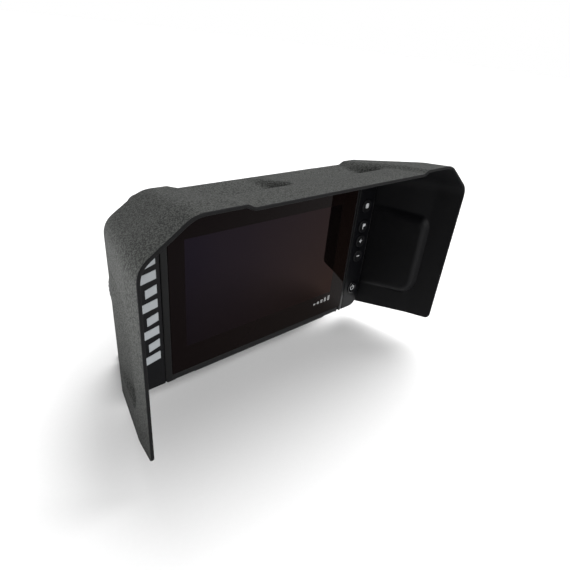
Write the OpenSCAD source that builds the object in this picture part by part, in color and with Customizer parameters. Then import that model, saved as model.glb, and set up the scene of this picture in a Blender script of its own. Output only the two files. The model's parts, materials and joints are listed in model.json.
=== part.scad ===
// Chartplotter display with a sun visor, on a tilting gimbal bracket.
// Millimetres. X to the right of the viewer, Y away from the viewer, Z up.
// The origin is the centre of the bolt pattern on the underside of the bracket's base.
// Nodes of the display are drawn about the middle of the lit screen, Y = 0 on the face of the glass.

/* [Screen] */
// Width of the lit area
screen_w = 154; // [150:0.5:156]
// Height of the lit area
screen_h = 86; // [82:0.5:88]
// Dark border left of the lit area
border_left = 12.3; // [11:0.1:13]
// Dark border right of the lit area
border_right = 17; // [16:0.1:18]
// Dark border above the lit area
border_high = 19.5; // [18.5:0.1:20]
// Dark border below the lit area
border_low = 21.5; // [20:0.1:21.8]
// Thickness of the cover glass
glass_t = 1.8; // [1.5:0.1:2]

/* [Front] */
// Width of the front
front_w = 242; // [241:0.2:242.4]
// Height of the front
front_h = 140; // [138:0.2:140.4]
// Corner radius of the front
front_r = 10; // [6:0.5:14]
// Depth of the front frame behind the glass face
front_d = 11; // [10.5:0.1:11]
// How far the glass stands proud of the side panels
glass_step = 1.2; // [0.8:0.1:1.4]
// Width of the bevelled strips beside the glass
strip_w = 5.2; // [4:0.1:6]

/* [Keys] */
// Radius of a key cap
key_r = 6; // [5.5:0.1:6.2]
// Gap round a key cap
key_gap = 0.35; // [0.3:0.05:0.5]
// How far a key stands out of its panel
key_out = 1; // [0.6:0.1:1.2]

/* [Rear housing] */
// Width of the rear housing
housing_w = 186; // [184:0.5:187]
// Height of the rear housing
housing_h = 120; // [116:0.5:121]
// Depth of the rear housing behind the front frame
housing_d = 50; // [48:0.5:52]
// Wall thickness of the rear housing
wall = 3; // [2.5:0.1:3]
// Number of cooling fins
fin_count = 11; // [7:1:13]

/* [Bracket] */
// Depth of the base
base_d = 54; // [50:0.5:56]
// Thickness of the base
base_t = 4.5; // [4:0.1:5]
// Height of the tilt axis above the underside
tilt_h = 82; // [81:0.5:90]
// Thickness of an arm
arm_t = 4; // [3.5:0.1:4.5]
// Distance between the bolt holes along X
bolt_x = 150; // [120:1:160]
// Distance between the bolt holes along Y
bolt_y = 34; // [28:1:36]
// Radius of a bolt hole
bolt_r = 2.75; // [2.2:0.05:3.2]

/* [Knobs] */
// Radius of a knob
knob_r = 17.5; // [15:0.5:17.5]
// Depth of a knob
knob_d = 9; // [7:0.2:9]
// Number of grips round a knob
grip_count = 30; // [18:1:32]
// Radius of a knob's stud
stud_r = 4; // [3:0.5:4]

/* [Visor] */
// Sheet thickness of the visor
visor_t = 2; // [1.8:0.1:2.2]
// Length of the visor from its rear edge to its front rim
visor_d = 83; // [78:0.5:86]
// How far the rear edge reaches behind the glass face
visor_back = 12; // [11:0.5:12]

/* [Hidden] */

$fn = 64;
eps = 0.01;
fit = 0.05;             // radial clearance of a turning fit

// Places in the shared frame
screen_up = 5;          // the lit area's middle above the tilt axis
tilt_back = 30;         // the tilt axis behind the glass face
axis_y = -17.5;         // the tilt axis in front of the bolt pattern's centre
screen_z = tilt_h + screen_up;
glass_y = axis_y - tilt_back;

// Glass
glass_x0 = -screen_w / 2 - border_left;
glass_x1 = screen_w / 2 + border_right;
glass_z0 = -screen_h / 2 - border_low;
glass_z1 = screen_h / 2 + border_high;
front_low = 71;         // the front's lower edge below the screen's middle
front_z1 = front_h - front_low;
glass_slack = 0.15;
gasket_t = 0.8;
gasket_y = glass_t + gasket_t;
lcd_w = screen_w + 10.6;
lcd_h = screen_h + 11.6;
lcd_t = 3.5;
backlight_t = 2.5;

// Side panels
lip = 0.7;              // land round the glass before the bevel starts
notch_left = [-86, -70]; // notches in the lower edge
notch_left_d = 0.6;
notch_right = [73, 90];
notch_right_d = 1.9;
panel_t = 2;
panel_y = glass_step + panel_t;
left_edge = glass_x0 - lip - strip_w + 0.7;
right_edge = glass_x1 + lip + strip_w - 0.7;

// Keys, from the top: places along Z
key_x = (right_edge + front_w / 2) / 2;
pages_z = 35.6;
waypoint_z = 16;
zoom_in_z = 1.4;
zoom_out_z = -13.9;
lens_z = -31.2;
power_z = -48.4;
flange_extra = 1.2;     // a key's hidden flange
flange_t = 1;
key_cap_d = panel_y + 0.4;
key_well = 5.2;         // depth where the room for the key mat starts
mat_y = 5.9;
key_board_y = 7.1;

// Rear housing
seal_t = 0.8;
house_y0 = front_d + seal_t;
house_y1 = house_y0 + housing_d;
house_in = house_y1 - wall;
flange_h = housing_h + 12;
screw_z = (housing_h + flange_h) / 4;
screw_x = 78;
board_t = 1.6;
main_y = 20;
sonar_y = 34;
spacer_x = 84;
spacer_z = 51;

// Bracket, measured across X
washer_gap = 0.1;
arm_x0 = housing_w / 2 + arm_t;
arm_x1 = arm_x0 + arm_t;
base_w = 2 * arm_x1;
end_r = 13.5;
arm_foot0 = 6;          // the foot of an arm behind the tilt axis
arm_foot1 = 36;
arm_knee = 66;          // the arm leans back down to this depth below the axis
knob_washer_t = 1.5;
knob_x0 = arm_x1 + washer_gap + knob_washer_t;
knob_x1 = knob_x0 + knob_d;
insert_r = stud_r + 2.4;
insert_x = housing_w / 2 - 12;

// Sockets on the back
socket_z = -32;
power_x = -44;
sonar_x = 0;
network_x = 40;
socket_r = 9.5;
socket_bore = 7.6;
socket_out = 10;
socket_in = 9;
contact_r = 0.6;
contact_ring = 4.2;

// Memory card door under the housing
card_x = 66;
card_y = 34;
door_w = 26;
door_d = 14;
door_t = 2;
door_gap = 0.8;
door_z = -housing_h / 2 - door_gap;
hinge_y = card_y + door_d / 2 + 2.6;
hinge_z = door_z - 1.1;
hinge_r = 0.9;
knuckle_r = 1.9;

// Visor outline, as half widths and heights at the rear edge and their growth to the rim
wall_x0 = 123.8;
wall_flare = 20;
wall_z0 = -71.2;
wall_rise = 13.4;
fold_at = 0.72;         // the sheet folds here and flares less in front of it
fold_w = 0.04;
fold_share = 0.4;
top_z0 = 75.5;
top_rise = 15;
bend_a0 = 59.2;         // lower end of the sloping corner
bend_a_rise = 9.7;
bend_b0 = 98.9;         // upper end of the sloping corner
bend_b_grow = 13.5;
bend_a_len = 8;
bend_b_len = 6.5;
middle_drop = 2.4;      // the middle of the top lies below its shoulders
shoulder_x = 75.5;
shoulder_w = 6.5;
tip_r = 4.5;            // round lower front corners
pocket_floor = 73.2;
pad_flare = 13.8;
pad_front = 49.5;       // how far forward the pads in the side walls reach
pad_low = 41.2;
pad_slope = 0.163;
pad_high = 36;
pad_ramp = 3.5;
pocket_front = 38;      // front edges of the long hollows in the top
pocket_in = 15.5;
pocket_out = 77;

// Rows and columns of the sheet, closer where steps and folds lie.
function steps(a, b, n) = [for (i = [0 : n - 1]) a + (b - a) * i / n];
row_list = concat(steps(0, 0.42, 5), steps(0.42, 0.62, 4), steps(0.62, 0.69, 2),
                  steps(0.69, 0.76, 5), steps(0.76, 1, 4), [1]);
top_list = concat(steps(0, 0.15, 1), steps(0.15, 0.24, 4), steps(0.24, 0.7, 3),
                  steps(0.7, 0.85, 5), steps(0.85, 1, 2));
wall_list = concat(steps(0, 0.18, 2), steps(0.18, 0.26, 3), steps(0.26, 0.79, 5),
                   steps(0.79, 0.87, 4), steps(0.87, 1, 2));
foam_gap = 0.4;
foam_slack = 0.3;
foam_y0 = 3;
foam_y1 = 10;

// The front's upper corners are cut along the visor's slope, with this gap inside the sheet.
corner_gap = 1;
cut_r = 6;
slope = [wall_x0 - bend_b0, bend_a0 - top_z0] / norm([wall_x0 - bend_b0, bend_a0 - top_z0]);
outward = [-slope[1], slope[0]];
cut_reach = outward * [bend_b0, top_z0] - visor_t - corner_gap - cut_r;
cut_low = [front_w / 2 - cut_r, (cut_reach - outward[0] * (front_w / 2 - cut_r)) / outward[1]];
cut_high = [(cut_reach - outward[1] * (front_z1 - cut_r)) / outward[0], front_z1 - cut_r];

// ---------- small helpers ----------

// Everything that belongs to the display is drawn about the middle of the screen.
module at_screen() translate([0, glass_y, screen_z]) children();

// A flat outline in XZ given a thickness from y0 back to y1.
module slab(y0, y1) translate([0, y1, 0]) rotate([90, 0, 0]) linear_extrude(y1 - y0) children();

// A rectangle with round corners, exact arcs.
module round_rect(x0, x1, z0, z1, r) {
    translate([x0 + r, z0]) square([x1 - x0 - 2 * r, z1 - z0]);
    translate([x0, z0 + r]) square([x1 - x0, z1 - z0 - 2 * r]);
    for (x = [x0 + r, x1 - r], z = [z0 + r, z1 - r])
        translate([x, z]) circle(r);
}

module block(x0, x1, y0, y1, z0, z1) translate([x0, y0, z0]) cube([x1 - x0, y1 - y0, z1 - z0]);

// Round bar along Y from y0 to y1, and along X from x0 to x1.
module rod_y(x, z, r, y0, y1) translate([x, y0, z]) rotate([-90, 0, 0]) cylinder(r = r, h = y1 - y0);
module rod_x(y, z, r, x0, x1) translate([x0, y, z]) rotate([0, 90, 0]) cylinder(r = r, h = x1 - x0);

// ---------- bracket ----------

// Side view of an arm, in Y and Z about the tilt axis.
module arm_outline() {
    circle(end_r);
    polygon([
        [-end_r, 0], [arm_foot0, -arm_knee], [arm_foot0, base_t / 2 - tilt_h],
        [arm_foot1, base_t / 2 - tilt_h], [arm_foot1, -arm_knee], [end_r, 0]
    ]);
}

module gimbal_bracket() {
    gusset = 9;
    color("#2b2d2f")
    difference() {
        union() {
            linear_extrude(base_t)
                round_rect(-base_w / 2, base_w / 2, -base_d / 2, base_d / 2, 6);
            for (side = [-1, 1])
                translate([side > 0 ? arm_x0 : -arm_x1, axis_y, tilt_h])
                    rotate([90, 0, 90]) linear_extrude(arm_t) arm_outline();
            for (side = [-1, 1], y = [0, 14])
                translate([side * arm_x0, y, base_t])
                    rotate([90, 0, 0]) linear_extrude(3)
                        polygon([[side, -1], [side, gusset], [-side * gusset, 0], [-side * gusset, -1]]);
        }
        rod_x(axis_y, tilt_h, stud_r + fit, -base_w, base_w);
        for (x = [-1, 1], y = [-1, 1])
            translate([x * bolt_x / 2, y * bolt_y / 2, -1]) cylinder(r = bolt_r, h = base_t + 2);
    }
}

module tilt_washer(side) {
    x0 = housing_w / 2 + washer_gap;
    x1 = arm_x0 - washer_gap;
    color("#1b1c1d")
    difference() {
        rod_x(axis_y, tilt_h, end_r - 0.5, side > 0 ? x0 : -x1, side > 0 ? x1 : -x0);
        rod_x(axis_y, tilt_h, stud_r + fit, -base_w, base_w);
    }
}

// ---------- front ----------

// The front's outline, drawn in by an inset: round lower corners, and slopes at the upper ones.
module front_outline(inset) {
    half_w = front_w / 2 - inset;
    z0 = inset - front_low;
    z1 = front_z1 - inset;
    low_c = [front_w / 2 - front_r, front_r - front_low];
    r = cut_r - inset;
    for (side = [-1, 1]) scale([side, 1]) {
        translate(low_c) circle(front_r - inset);
        translate(cut_low) circle(r);
        translate(cut_high) circle(r);
        polygon([
            [0, z0], [low_c[0], z0], low_c, [half_w, low_c[1]], [half_w, cut_low[1]],
            cut_low + r * outward, cut_high + r * outward, [cut_high[0], z1], [0, z1]
        ]);
    }
}

// A shallow notch in the front's lower edge between two X values, with sloping ends.
module edge_notch(x, depth) {
    slab(-1, front_d + 1) polygon([
        [x[0] - 1, -front_low - eps], [x[0] + 1, depth - front_low],
        [x[1] - 1, depth - front_low], [x[1] + 1, -front_low - eps]
    ]);
}

module front_bezel() {
    half_w = front_w / 2;
    color("#26282b")
    at_screen() difference() {
        union() {
            slab(panel_y, front_d) front_outline(0);
            slab(glass_step, panel_y + eps)
                translate([left_edge, -front_low]) square([right_edge - left_edge, front_h]);
            translate([0, 0, -front_low]) linear_extrude(front_h) polygon([
                [left_edge, glass_step + eps], [glass_x0 - lip, 0],
                [glass_x1 + lip, 0], [right_edge, glass_step + eps]
            ]);
            for (x = [-screw_x, 0, screw_x], z = [-screw_z, screw_z])
                rod_y(x, z, 2.9, front_d - 1, house_y0);
        }
        edge_notch(notch_left, notch_left_d);
        edge_notch(notch_right, notch_right_d);
        block(glass_x0 - glass_slack, glass_x1 + glass_slack, -1, gasket_y,
              glass_z0 - glass_slack, glass_z1 + glass_slack);
        block(-lcd_w / 2 - 0.3, lcd_w / 2 + 0.3, 0, front_d + 1, -lcd_h / 2 - 0.3, lcd_h / 2 + 0.3);
        block(right_edge + 0.5, half_w - 2, key_well, front_d + 1, power_z - 12, pages_z + 12);
        for (z = [pages_z, waypoint_z, zoom_in_z, zoom_out_z, power_z])
            rod_y(key_x, z, key_r + flange_extra + key_gap / 2, panel_y - 1, key_well + 1);
        for (x = [-screw_x, 0, screw_x], z = [-screw_z, screw_z])
            rod_y(x, z, 1.4, 6, house_y0 + 1);
    }
}

module cover_glass() {
    color("#15131a")
    at_screen() block(glass_x0, glass_x1, 0, glass_t, glass_z0, glass_z1);
}

module glass_gasket() {
    color("#0c0c0c")
    at_screen() difference() {
        block(glass_x0, glass_x1, glass_t, gasket_y, glass_z0, glass_z1);
        block(-lcd_w / 2 - 0.6, lcd_w / 2 + 0.6, 0, front_d, -lcd_h / 2 - 0.6, lcd_h / 2 + 0.6);
    }
}

module lcd_panel() {
    color("#22262b")
    at_screen() block(-lcd_w / 2, lcd_w / 2, glass_t, glass_t + lcd_t, -lcd_h / 2, lcd_h / 2);
}

module backlight_plate() {
    color("#c9ccd0")
    at_screen() block(-lcd_w / 2, lcd_w / 2, glass_t + lcd_t, glass_t + lcd_t + backlight_t,
                      -lcd_h / 2, lcd_h / 2);
}

// A side panel's outline: the front's own outline between two X values.
module panel_outline(x0, x1) {
    intersection() {
        front_outline(0.4);
        translate([x0, -front_h]) square([x1 - x0, 2 * front_h]);
    }
}

module left_panel() {
    color("#1a1c20")
    at_screen() slab(glass_step, panel_y) panel_outline(-front_w, left_edge - 0.1);
}

// Light slanted bars up the left panel, a plain graduation.
module panel_mark() {
    bars = 9;
    pitch = 10.8;
    bar_h = 6.4;
    slant = 2.6;
    x0 = -110;
    x1 = -97.6;
    color("#b4b8bb")
    at_screen() slab(glass_step - 0.3, glass_step)
        for (i = [0 : bars - 1])
            translate([0, (i - (bars - 1) / 2) * pitch - bar_h / 2])
                polygon([[x0 + (i % 2) * 4, -slant / 2], [x1, slant / 2], [x1, bar_h + slant / 2],
                         [x0 + (i % 2) * 4, bar_h - slant / 2]]);
}

// Five small bars of rising height on the glass, a plain signal glyph.
module glass_mark() {
    bars = 5;
    color("#b0b0ae")
    at_screen() slab(-0.12, 0)
        for (i = [0 : bars - 1])
            translate([56 + i * 4.6, -51.6]) square([2.6, 1.8 + i * 0.8]);
}

module key_panel() {
    color("#202226")
    at_screen() difference() {
        slab(glass_step, panel_y) panel_outline(right_edge + 0.1, front_w);
        for (z = [pages_z, waypoint_z, zoom_in_z, zoom_out_z, lens_z, power_z])
            rod_y(key_x, z, key_r + key_gap, 0, front_d);
    }
}

module sensor_lens() {
    color("#17181b")
    at_screen() rod_y(key_x, lens_z, key_r + key_gap, glass_step + 0.3, panel_y);
}

module key_mat() {
    color("#3a3c40")
    at_screen() union() {
        block(right_edge + 1, front_w / 2 - 2.5, mat_y, mat_y + 1, power_z - 11, pages_z + 11);
        for (z = [pages_z, waypoint_z, zoom_in_z, zoom_out_z, power_z])
            rod_y(key_x, z, 2, mat_y + 0.5, key_board_y);
    }
}

module key_board() {
    color("#1f5a38")
    at_screen() block(right_edge + 1, front_w / 2 - 2.5, key_board_y, key_board_y + board_t,
                      power_z - 11, pages_z + 11);
}

// A key: a dished round cap on a wider flange that the panel holds in.
module key_body(z) {
    dish_r = 18;
    dish = 0.35;
    at_screen() difference() {
        union() {
            rod_y(key_x, z, key_r, glass_step - key_out, key_cap_d + eps);
            rod_y(key_x, z, key_r + flange_extra, key_cap_d, key_cap_d + flange_t);
        }
        translate([key_x, glass_step - key_out - dish_r + dish, z]) sphere(dish_r);
    }
}

module pages_key() color("#1d1f22") key_body(pages_z);
module waypoint_key() color("#1d1f22") key_body(waypoint_z);
module zoom_in_key() color("#1d1f22") key_body(zoom_in_z);
module zoom_out_key() color("#1d1f22") key_body(zoom_out_z);
module power_key() color("#101113") key_body(power_z);

// ---------- rear housing ----------

module rear_housing() {
    half_w = housing_w / 2;
    half_h = housing_h / 2;
    boss_r = insert_r + 3;
    color("#1e2023")
    difference() {
        union() {
            at_screen() difference() {
                union() {
                    slab(house_y0, house_y1 - 12) round_rect(-half_w, half_w, -half_h, half_h, 8);
                    slab(house_y1 - 12 - eps, house_y1) round_rect(-half_w + 12, half_w - 12, -half_h + 5, half_h - 5, 8);
                    slab(house_y0, house_y0 + wall) round_rect(-half_w + 2, half_w - 2, -flange_h / 2, flange_h / 2, 6);
                }
                slab(house_y0 - 1, house_y1 - 12 - wall)
                    round_rect(-half_w + wall, half_w - wall, -half_h + wall, half_h - wall, 5);
                slab(house_y1 - 13 - wall, house_in)
                    round_rect(-half_w + 12 + wall, half_w - 12 - wall, -half_h + 5 + wall, half_h - 5 - wall, 5);
            }
            for (side = [-1, 1])
                rod_x(axis_y, tilt_h, boss_r, side > 0 ? insert_x - 2 : -half_w, side > 0 ? half_w : -insert_x + 2);
            at_screen() for (side = [-1, 1])
                rod_x(hinge_y, hinge_z, knuckle_r, card_x + side * 11.5 - 1.5, card_x + side * 11.5 + 1.5);
            at_screen() for (side = [-1, 1])
                block(card_x + side * 11.5 - 1.5, card_x + side * 11.5 + 1.5, hinge_y, hinge_y + knuckle_r,
                      hinge_z, -half_h + 1);
        }
        for (side = [-1, 1])
            rod_x(axis_y, tilt_h, insert_r, side > 0 ? insert_x : -housing_w, side > 0 ? housing_w : -insert_x);
        at_screen() {
            for (x = [-screw_x, 0, screw_x], z = [-screw_z, screw_z])
                rod_y(x, z, 1.7, house_y0 - 1, house_y0 + wall + 1);
            for (x = [power_x, sonar_x, network_x])
                rod_y(x, socket_z, socket_r, house_in - 1, house_y1 + 1);
            rod_y(72, socket_z, 3, house_in - 1, house_y1 + 1);
            block(-37, 17, house_in - 1, house_y1 + 1, 0, 27);
            for (x = [-52, 52], z = [4, 44])
                rod_y(x, z, 1.4, house_in - 1, house_y1 + 1);
            block(card_x - 8.2, card_x + 8.2, card_y - 3.2, card_y + 3.2, -half_h - 1, -half_h + wall + 1);
            rod_x(hinge_y, hinge_z, hinge_r, card_x - 20, card_x + 20);
        }
    }
}

module housing_seal() {
    half_w = housing_w / 2;
    half_h = housing_h / 2;
    color("#0b0b0b")
    at_screen() difference() {
        slab(front_d, house_y0) round_rect(-half_w + 0.4, half_w - 0.4, -half_h + 0.4, half_h - 0.4, 7);
        slab(front_d - 1, house_y0 + 1)
            round_rect(-half_w + 2.6, half_w - 2.6, -half_h + 2.6, half_h - 2.6, 5);
    }
}

// A pan-head screw along Y with its head at the back.
module screw_y(x, z, r, y0, y1) {
    difference() {
        union() {
            rod_y(x, z, r, y0, y1 + eps);
            rod_y(x, z, 2 * r, y1, y1 + 1.5 * r);
        }
        translate([x, y1 + 0.7 * r, z]) rotate([-90, 0, 0]) cylinder(r = 0.9 * r, h = 2 * r, $fn = 6);
    }
}

module housing_screws() {
    color("#8d9093")
    at_screen() for (x = [-screw_x, 0, screw_x], z = [-screw_z, screw_z])
        screw_y(x, z, 1.4, 7, house_y0 + wall);
}

module vent_plug() {
    color("#141414")
    at_screen() union() {
        rod_y(72, socket_z, 3, house_in, house_y1 + 0.5);
        rod_y(72, socket_z, 5.5, house_y1, house_y1 + 1.6);
    }
}

module heat_sink() {
    fin_t = 2;
    span = 112;
    color("#4a4d50")
    at_screen() difference() {
        union() {
            block(-58, 58, house_y1, house_y1 + 3, -2, 50);
            block(-35, 15, 28.6, house_y1 + eps, 2, 25);
            for (i = [0 : fin_count - 1])
                translate([(i / (fin_count - 1) - 0.5) * span - fin_t / 2, house_y1 + 3 - eps, 10])
                    cube([fin_t, 9, 28]);
        }
        for (x = [-52, 52], z = [4, 44])
            rod_y(x, z, 1.4, house_y1 - 1, house_y1 + 4);
    }
}

module heat_sink_screws() {
    color("#8d9093")
    at_screen() for (x = [-52, 52], z = [4, 44])
        screw_y(x, z, 1.4, house_in, house_y1 + 3);
}

module heat_pad() {
    color("#7d8fa8")
    at_screen() block(-34, 14, 27.6, 28.6, 3, 24);
}

// ---------- electronics ----------

module main_board() {
    color("#1f5a38")
    at_screen() difference() {
        block(-87, 87, main_y, main_y + board_t, -54, 54);
        for (x = [-spacer_x, spacer_x], z = [-spacer_z, spacer_z])
            rod_y(x, z, 1.5, main_y - 1, main_y + 3);
        for (side = [-1, 1])
            block(side > 0 ? 78 : -90, side > 0 ? 90 : -78, main_y - 1, main_y + 3, -17, 7);
    }
}

module shield_can() {
    y0 = main_y + board_t;
    color("#a9adb1")
    at_screen() difference() {
        block(-40, 20, y0, 27.6, -12, 30);
        block(-39.5, 19.5, y0 - 1, 27.1, -11.5, 29.5);
    }
}

module sonar_board() {
    color("#1d4f6b")
    at_screen() difference() {
        block(-58, 56, sonar_y, sonar_y + board_t, -50, -14);
        for (x = [-54, 52], z = [-46, -18])
            rod_y(x, z, 1.5, sonar_y - 1, sonar_y + 3);
    }
}

module board_spacers() {
    color("#b79b4a")
    at_screen() {
        for (x = [-spacer_x, spacer_x], z = [-spacer_z, spacer_z])
            difference() {
                rod_y(x, z, 2.8, front_d, main_y);
                rod_y(x, z, 1.3, main_y - 5, main_y + 1);
            }
        for (x = [-54, 52], z = [-46, -18])
            difference() {
                rod_y(x, z, 2.8, main_y + board_t, sonar_y);
                rod_y(x, z, 1.3, sonar_y - 5, sonar_y + 1);
            }
    }
}

module board_screws() {
    color("#9a9da0")
    at_screen() {
        for (x = [-spacer_x, spacer_x], z = [-spacer_z, spacer_z])
            screw_y(x, z, 1.2, main_y - 4, main_y + board_t);
        for (x = [-54, 52], z = [-46, -18])
            screw_y(x, z, 1.2, sonar_y - 4, sonar_y + board_t);
    }
}

module gps_antenna() {
    y0 = main_y + board_t;
    color("#cfc3a2")
    at_screen() union() {
        block(-72, -47, y0, y0 + 4, 24, 49);
        block(-69, -50, y0 + 4 - eps, y0 + 4.3, 27, 46);
    }
}

module sounder() {
    y0 = main_y + board_t;
    color("#111111")
    at_screen() difference() {
        rod_y(52, 34, 7, y0, y0 + 6);
        rod_y(52, 34, 1.2, y0 + 3, y0 + 7);
    }
}

// ---------- tilt fixing ----------

module knob_insert(side) {
    x1 = housing_w / 2;
    color("#b48a3c")
    difference() {
        rod_x(axis_y, tilt_h, insert_r, side > 0 ? insert_x : -x1, side > 0 ? x1 : -insert_x);
        rod_x(axis_y, tilt_h, stud_r + fit, side > 0 ? insert_x + 1.5 : -housing_w,
              side > 0 ? housing_w : -insert_x - 1.5);
    }
}

module knob_washer(side) {
    x0 = arm_x1 + washer_gap;
    x1 = x0 + knob_washer_t;
    color("#a4a7aa")
    difference() {
        rod_x(axis_y, tilt_h, 10, side > 0 ? x0 : -x1, side > 0 ? x1 : -x0);
        rod_x(axis_y, tilt_h, stud_r + fit, -base_w, base_w);
    }
}

// A flat knob with scallops round its edge and a round hollow in its face.
module tilt_knob(side) {
    scallop_r = 0.95;
    x0 = knob_x0 + fit;
    color("#17181a")
    translate([0, axis_y, tilt_h]) scale([side, 1, 1]) difference() {
        union() {
            rod_x(0, 0, knob_r, x0 + 1.4, knob_x1);
            rod_x(0, 0, 10.5, x0, x0 + 2);
        }
        for (i = [0 : grip_count - 1])
            rotate([i * 360 / grip_count, 0, 0])
                rod_x(0, knob_r + 0.25, scallop_r, x0, knob_x1 + 1);
        rod_x(0, 0, knob_r - 4, knob_x1 - 1.6, knob_x1 + 1);
        rod_x(0, 0, stud_r, x0 - 1, x0 + 5);
    }
}

module knob_stud(side) {
    x0 = insert_x + 2.2;
    x1 = knob_x0 + fit + 5;
    color("#9da1a5")
    rod_x(axis_y, tilt_h, stud_r, side > 0 ? x0 : -x1, side > 0 ? x1 : -x0);
}

// ---------- sockets ----------

module rear_socket(x) {
    at_screen() difference() {
        union() {
            rod_y(x, socket_z, socket_r, house_y1 - socket_in - wall, house_y1 + socket_out);
            rod_y(x, socket_z, socket_r + 3, house_y1, house_y1 + 2.4);
        }
        rod_y(x, socket_z, socket_bore, house_y1 - 3, house_y1 + socket_out + 1);
    }
}

module power_socket() color("#161719") rear_socket(power_x);
module sonar_socket() color("#161719") rear_socket(sonar_x);
module network_socket() color("#161719") rear_socket(network_x);

module socket_contacts() {
    color("#c8a24a")
    at_screen() for (set = [[power_x, 4], [sonar_x, 8], [network_x, 5]], i = [0 : set[1] - 1])
        rod_y(set[0] + contact_ring * cos(360 * i / set[1]), socket_z + contact_ring * sin(360 * i / set[1]),
              contact_r, house_y1 - 3, house_y1 + 2);
}

module socket_nuts() {
    color("#8f9396")
    at_screen() for (x = [power_x, sonar_x, network_x])
        difference() {
            rod_y(x, socket_z, 12.5, house_in - 3.4, house_in);
            rod_y(x, socket_z, socket_r, house_in - 5, house_in + 1);
        }
}

// ---------- memory card door ----------

module card_socket() {
    z0 = -housing_h / 2 + wall;
    color("#b9bcc0")
    at_screen() difference() {
        block(card_x - 8, card_x + 8, card_y - 3, card_y + 3, z0 - 2, z0 + 15);
        block(card_x - 6, card_x + 6, card_y - 0.6, card_y + 0.6, z0 - 3, z0 + 13);
    }
}

module card_door_pin() {
    color("#9a9da0")
    at_screen() rod_x(hinge_y, hinge_z, hinge_r, card_x - 13, card_x + 13);
}

module card_door() {
    color("#1c1e21")
    at_screen() difference() {
        union() {
            block(card_x - door_w / 2, card_x + door_w / 2, card_y - door_d / 2, card_y + door_d / 2,
                  door_z - door_t, door_z);
            block(card_x - 5, card_x + 5, card_y - door_d / 2 - 2, card_y - door_d / 2 + eps,
                  door_z - door_t, door_z - door_t + 1.2);
            rod_x(hinge_y, hinge_z, knuckle_r, card_x - 9.7, card_x + 9.7);
            block(card_x - 9.7, card_x + 9.7, card_y + door_d / 2 - eps, hinge_y, door_z - door_t, door_z - 0.4);
        }
        rod_x(hinge_y, hinge_z, hinge_r + fit, card_x - 20, card_x + 20);
    }
}

module card_door_seal() {
    color("#0b0b0b")
    at_screen() difference() {
        block(card_x - 11, card_x + 11, card_y - 5.6, card_y + 5.6, door_z, door_z + door_gap - 0.35);
        block(card_x - 9.4, card_x + 9.4, card_y - 4, card_y + 4, door_z - 1, door_z + 2);
    }
}

// ---------- visor ----------

function clamp01(a) = min(1, max(0, a));
// Smooth step from 0 to 1 as a goes from 0 to 1.
function ease(a) = let (c = clamp01(a)) c * c * (3 - 2 * c);
// The smaller of two distances, with the corner between them rounded to radius r.
function round_min(a, b, r) = (a < r && b < r) ? r - norm([r - a, r - b]) : min(a, b);
// Point at parameter q on the parabola from a to c that bends at b.
function bend(a, b, c, q) = (1 - q) * (1 - q) * a + 2 * q * (1 - q) * b + q * q * c;

// s runs from 0 at the rear edge to 1 at the front rim. The flare reached at s, as a share of the whole,
// grows evenly up to the fold and more slowly in front of it.
function past_fold(s) =
    let (t = s - fold_at)
    t < -fold_w ? 0 : t > fold_w ? t : (t + fold_w) * (t + fold_w) / (4 * fold_w);
function flare(s) = (s - fold_share * past_fold(s)) / (1 - fold_share * past_fold(1));
function wall_x(s) = wall_x0 + wall_flare * flare(s);
function wall_z(s) = wall_z0 + wall_rise * s;
function top_z(s) = top_z0 + top_rise * flare(s);
function bend_a(s) = [wall_x(s), bend_a0 + bend_a_rise * flare(s)];
function bend_b(s) = [bend_b0 + bend_b_grow * flare(s), top_z(s)];

// Half of the cross-section at s, from the middle of the top to the foot of the side wall.
function half_section(s) =
    let (
        a = bend_a(s),
        b = bend_b(s),
        along = (a - b) / norm(a - b),
        b0 = b - [bend_b_len, 0],
        b1 = b + along * bend_b_len,
        a0 = a - along * bend_a_len,
        a1 = a - [0, bend_a_len],
        foot = wall_z(s)
    )
    concat(
        [for (q = top_list) [b0[0] * q, b0[1]]],
        [for (i = [0 : 3]) bend(b0, b, b1, i / 4)],
        [for (i = [0 : 2]) b1 + (a0 - b1) * i / 3],
        [for (i = [0 : 4]) bend(a0, a, a1, i / 5)],
        [for (q = wall_list) [a1[0], a1[1] + (foot + tip_r - a1[1]) * q]],
        [for (h = [1, 0.55, 0.25, 0.08, 0]) [a1[0], foot + tip_r * h]]
    );

// Drop of the top below the shoulders at x, and the long hollows pressed into it.
function top_drop(x, y, z) =
    let (
        middle = middle_drop * (1 - ease((x - shoulder_x) / shoulder_w)),
        edge = round_min(round_min((x - pocket_in) / 7, (pocket_out - x) / 6, 1), (y + pocket_front) / 12, 1)
    )
    middle + max(0, z - middle - pocket_floor) * ease(edge);

// Depth of the pad pressed into a side wall at y and z. Its front step is short and steep, its lower edge
// slopes, and the corners between its edges are round.
function pad_depth(s, y, z) =
    let (
        front = (y + pad_front) / pad_ramp,
        low = (z + pad_low + pad_slope * (y + pad_front - 15)) / 4,
        high = (pad_high - z) / 6
    )
    (wall_x(s) - wall_x0 - pad_flare * s) * ease(round_min(round_min(front, low, 3.5), high, 2));

// The front rim's lower corners are round: how far the rim stands back at height h above the foot.
function tip_back(h) = h >= tip_r ? 0 : tip_r - sqrt(tip_r * tip_r - (tip_r - h) * (tip_r - h));

// A point of the outer skin from section point p at rows fraction v, on the side given by its sign.
function skin_point(v, i, side) =
    let (
        h = half_section(v)[i][1] - wall_z(v),
        y = visor_back - v * (visor_d - tip_back(h)),
        s = (visor_back - y) / visor_d,
        p = half_section(s)[i],
        on_top = p[1] > top_z(s) - 0.5,
        x = on_top ? p[0] : p[0] - pad_depth(s, y, p[1]),
        z = on_top ? p[1] - top_drop(p[0], y, p[1]) : p[1]
    )
    [side * x, y, z];

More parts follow.
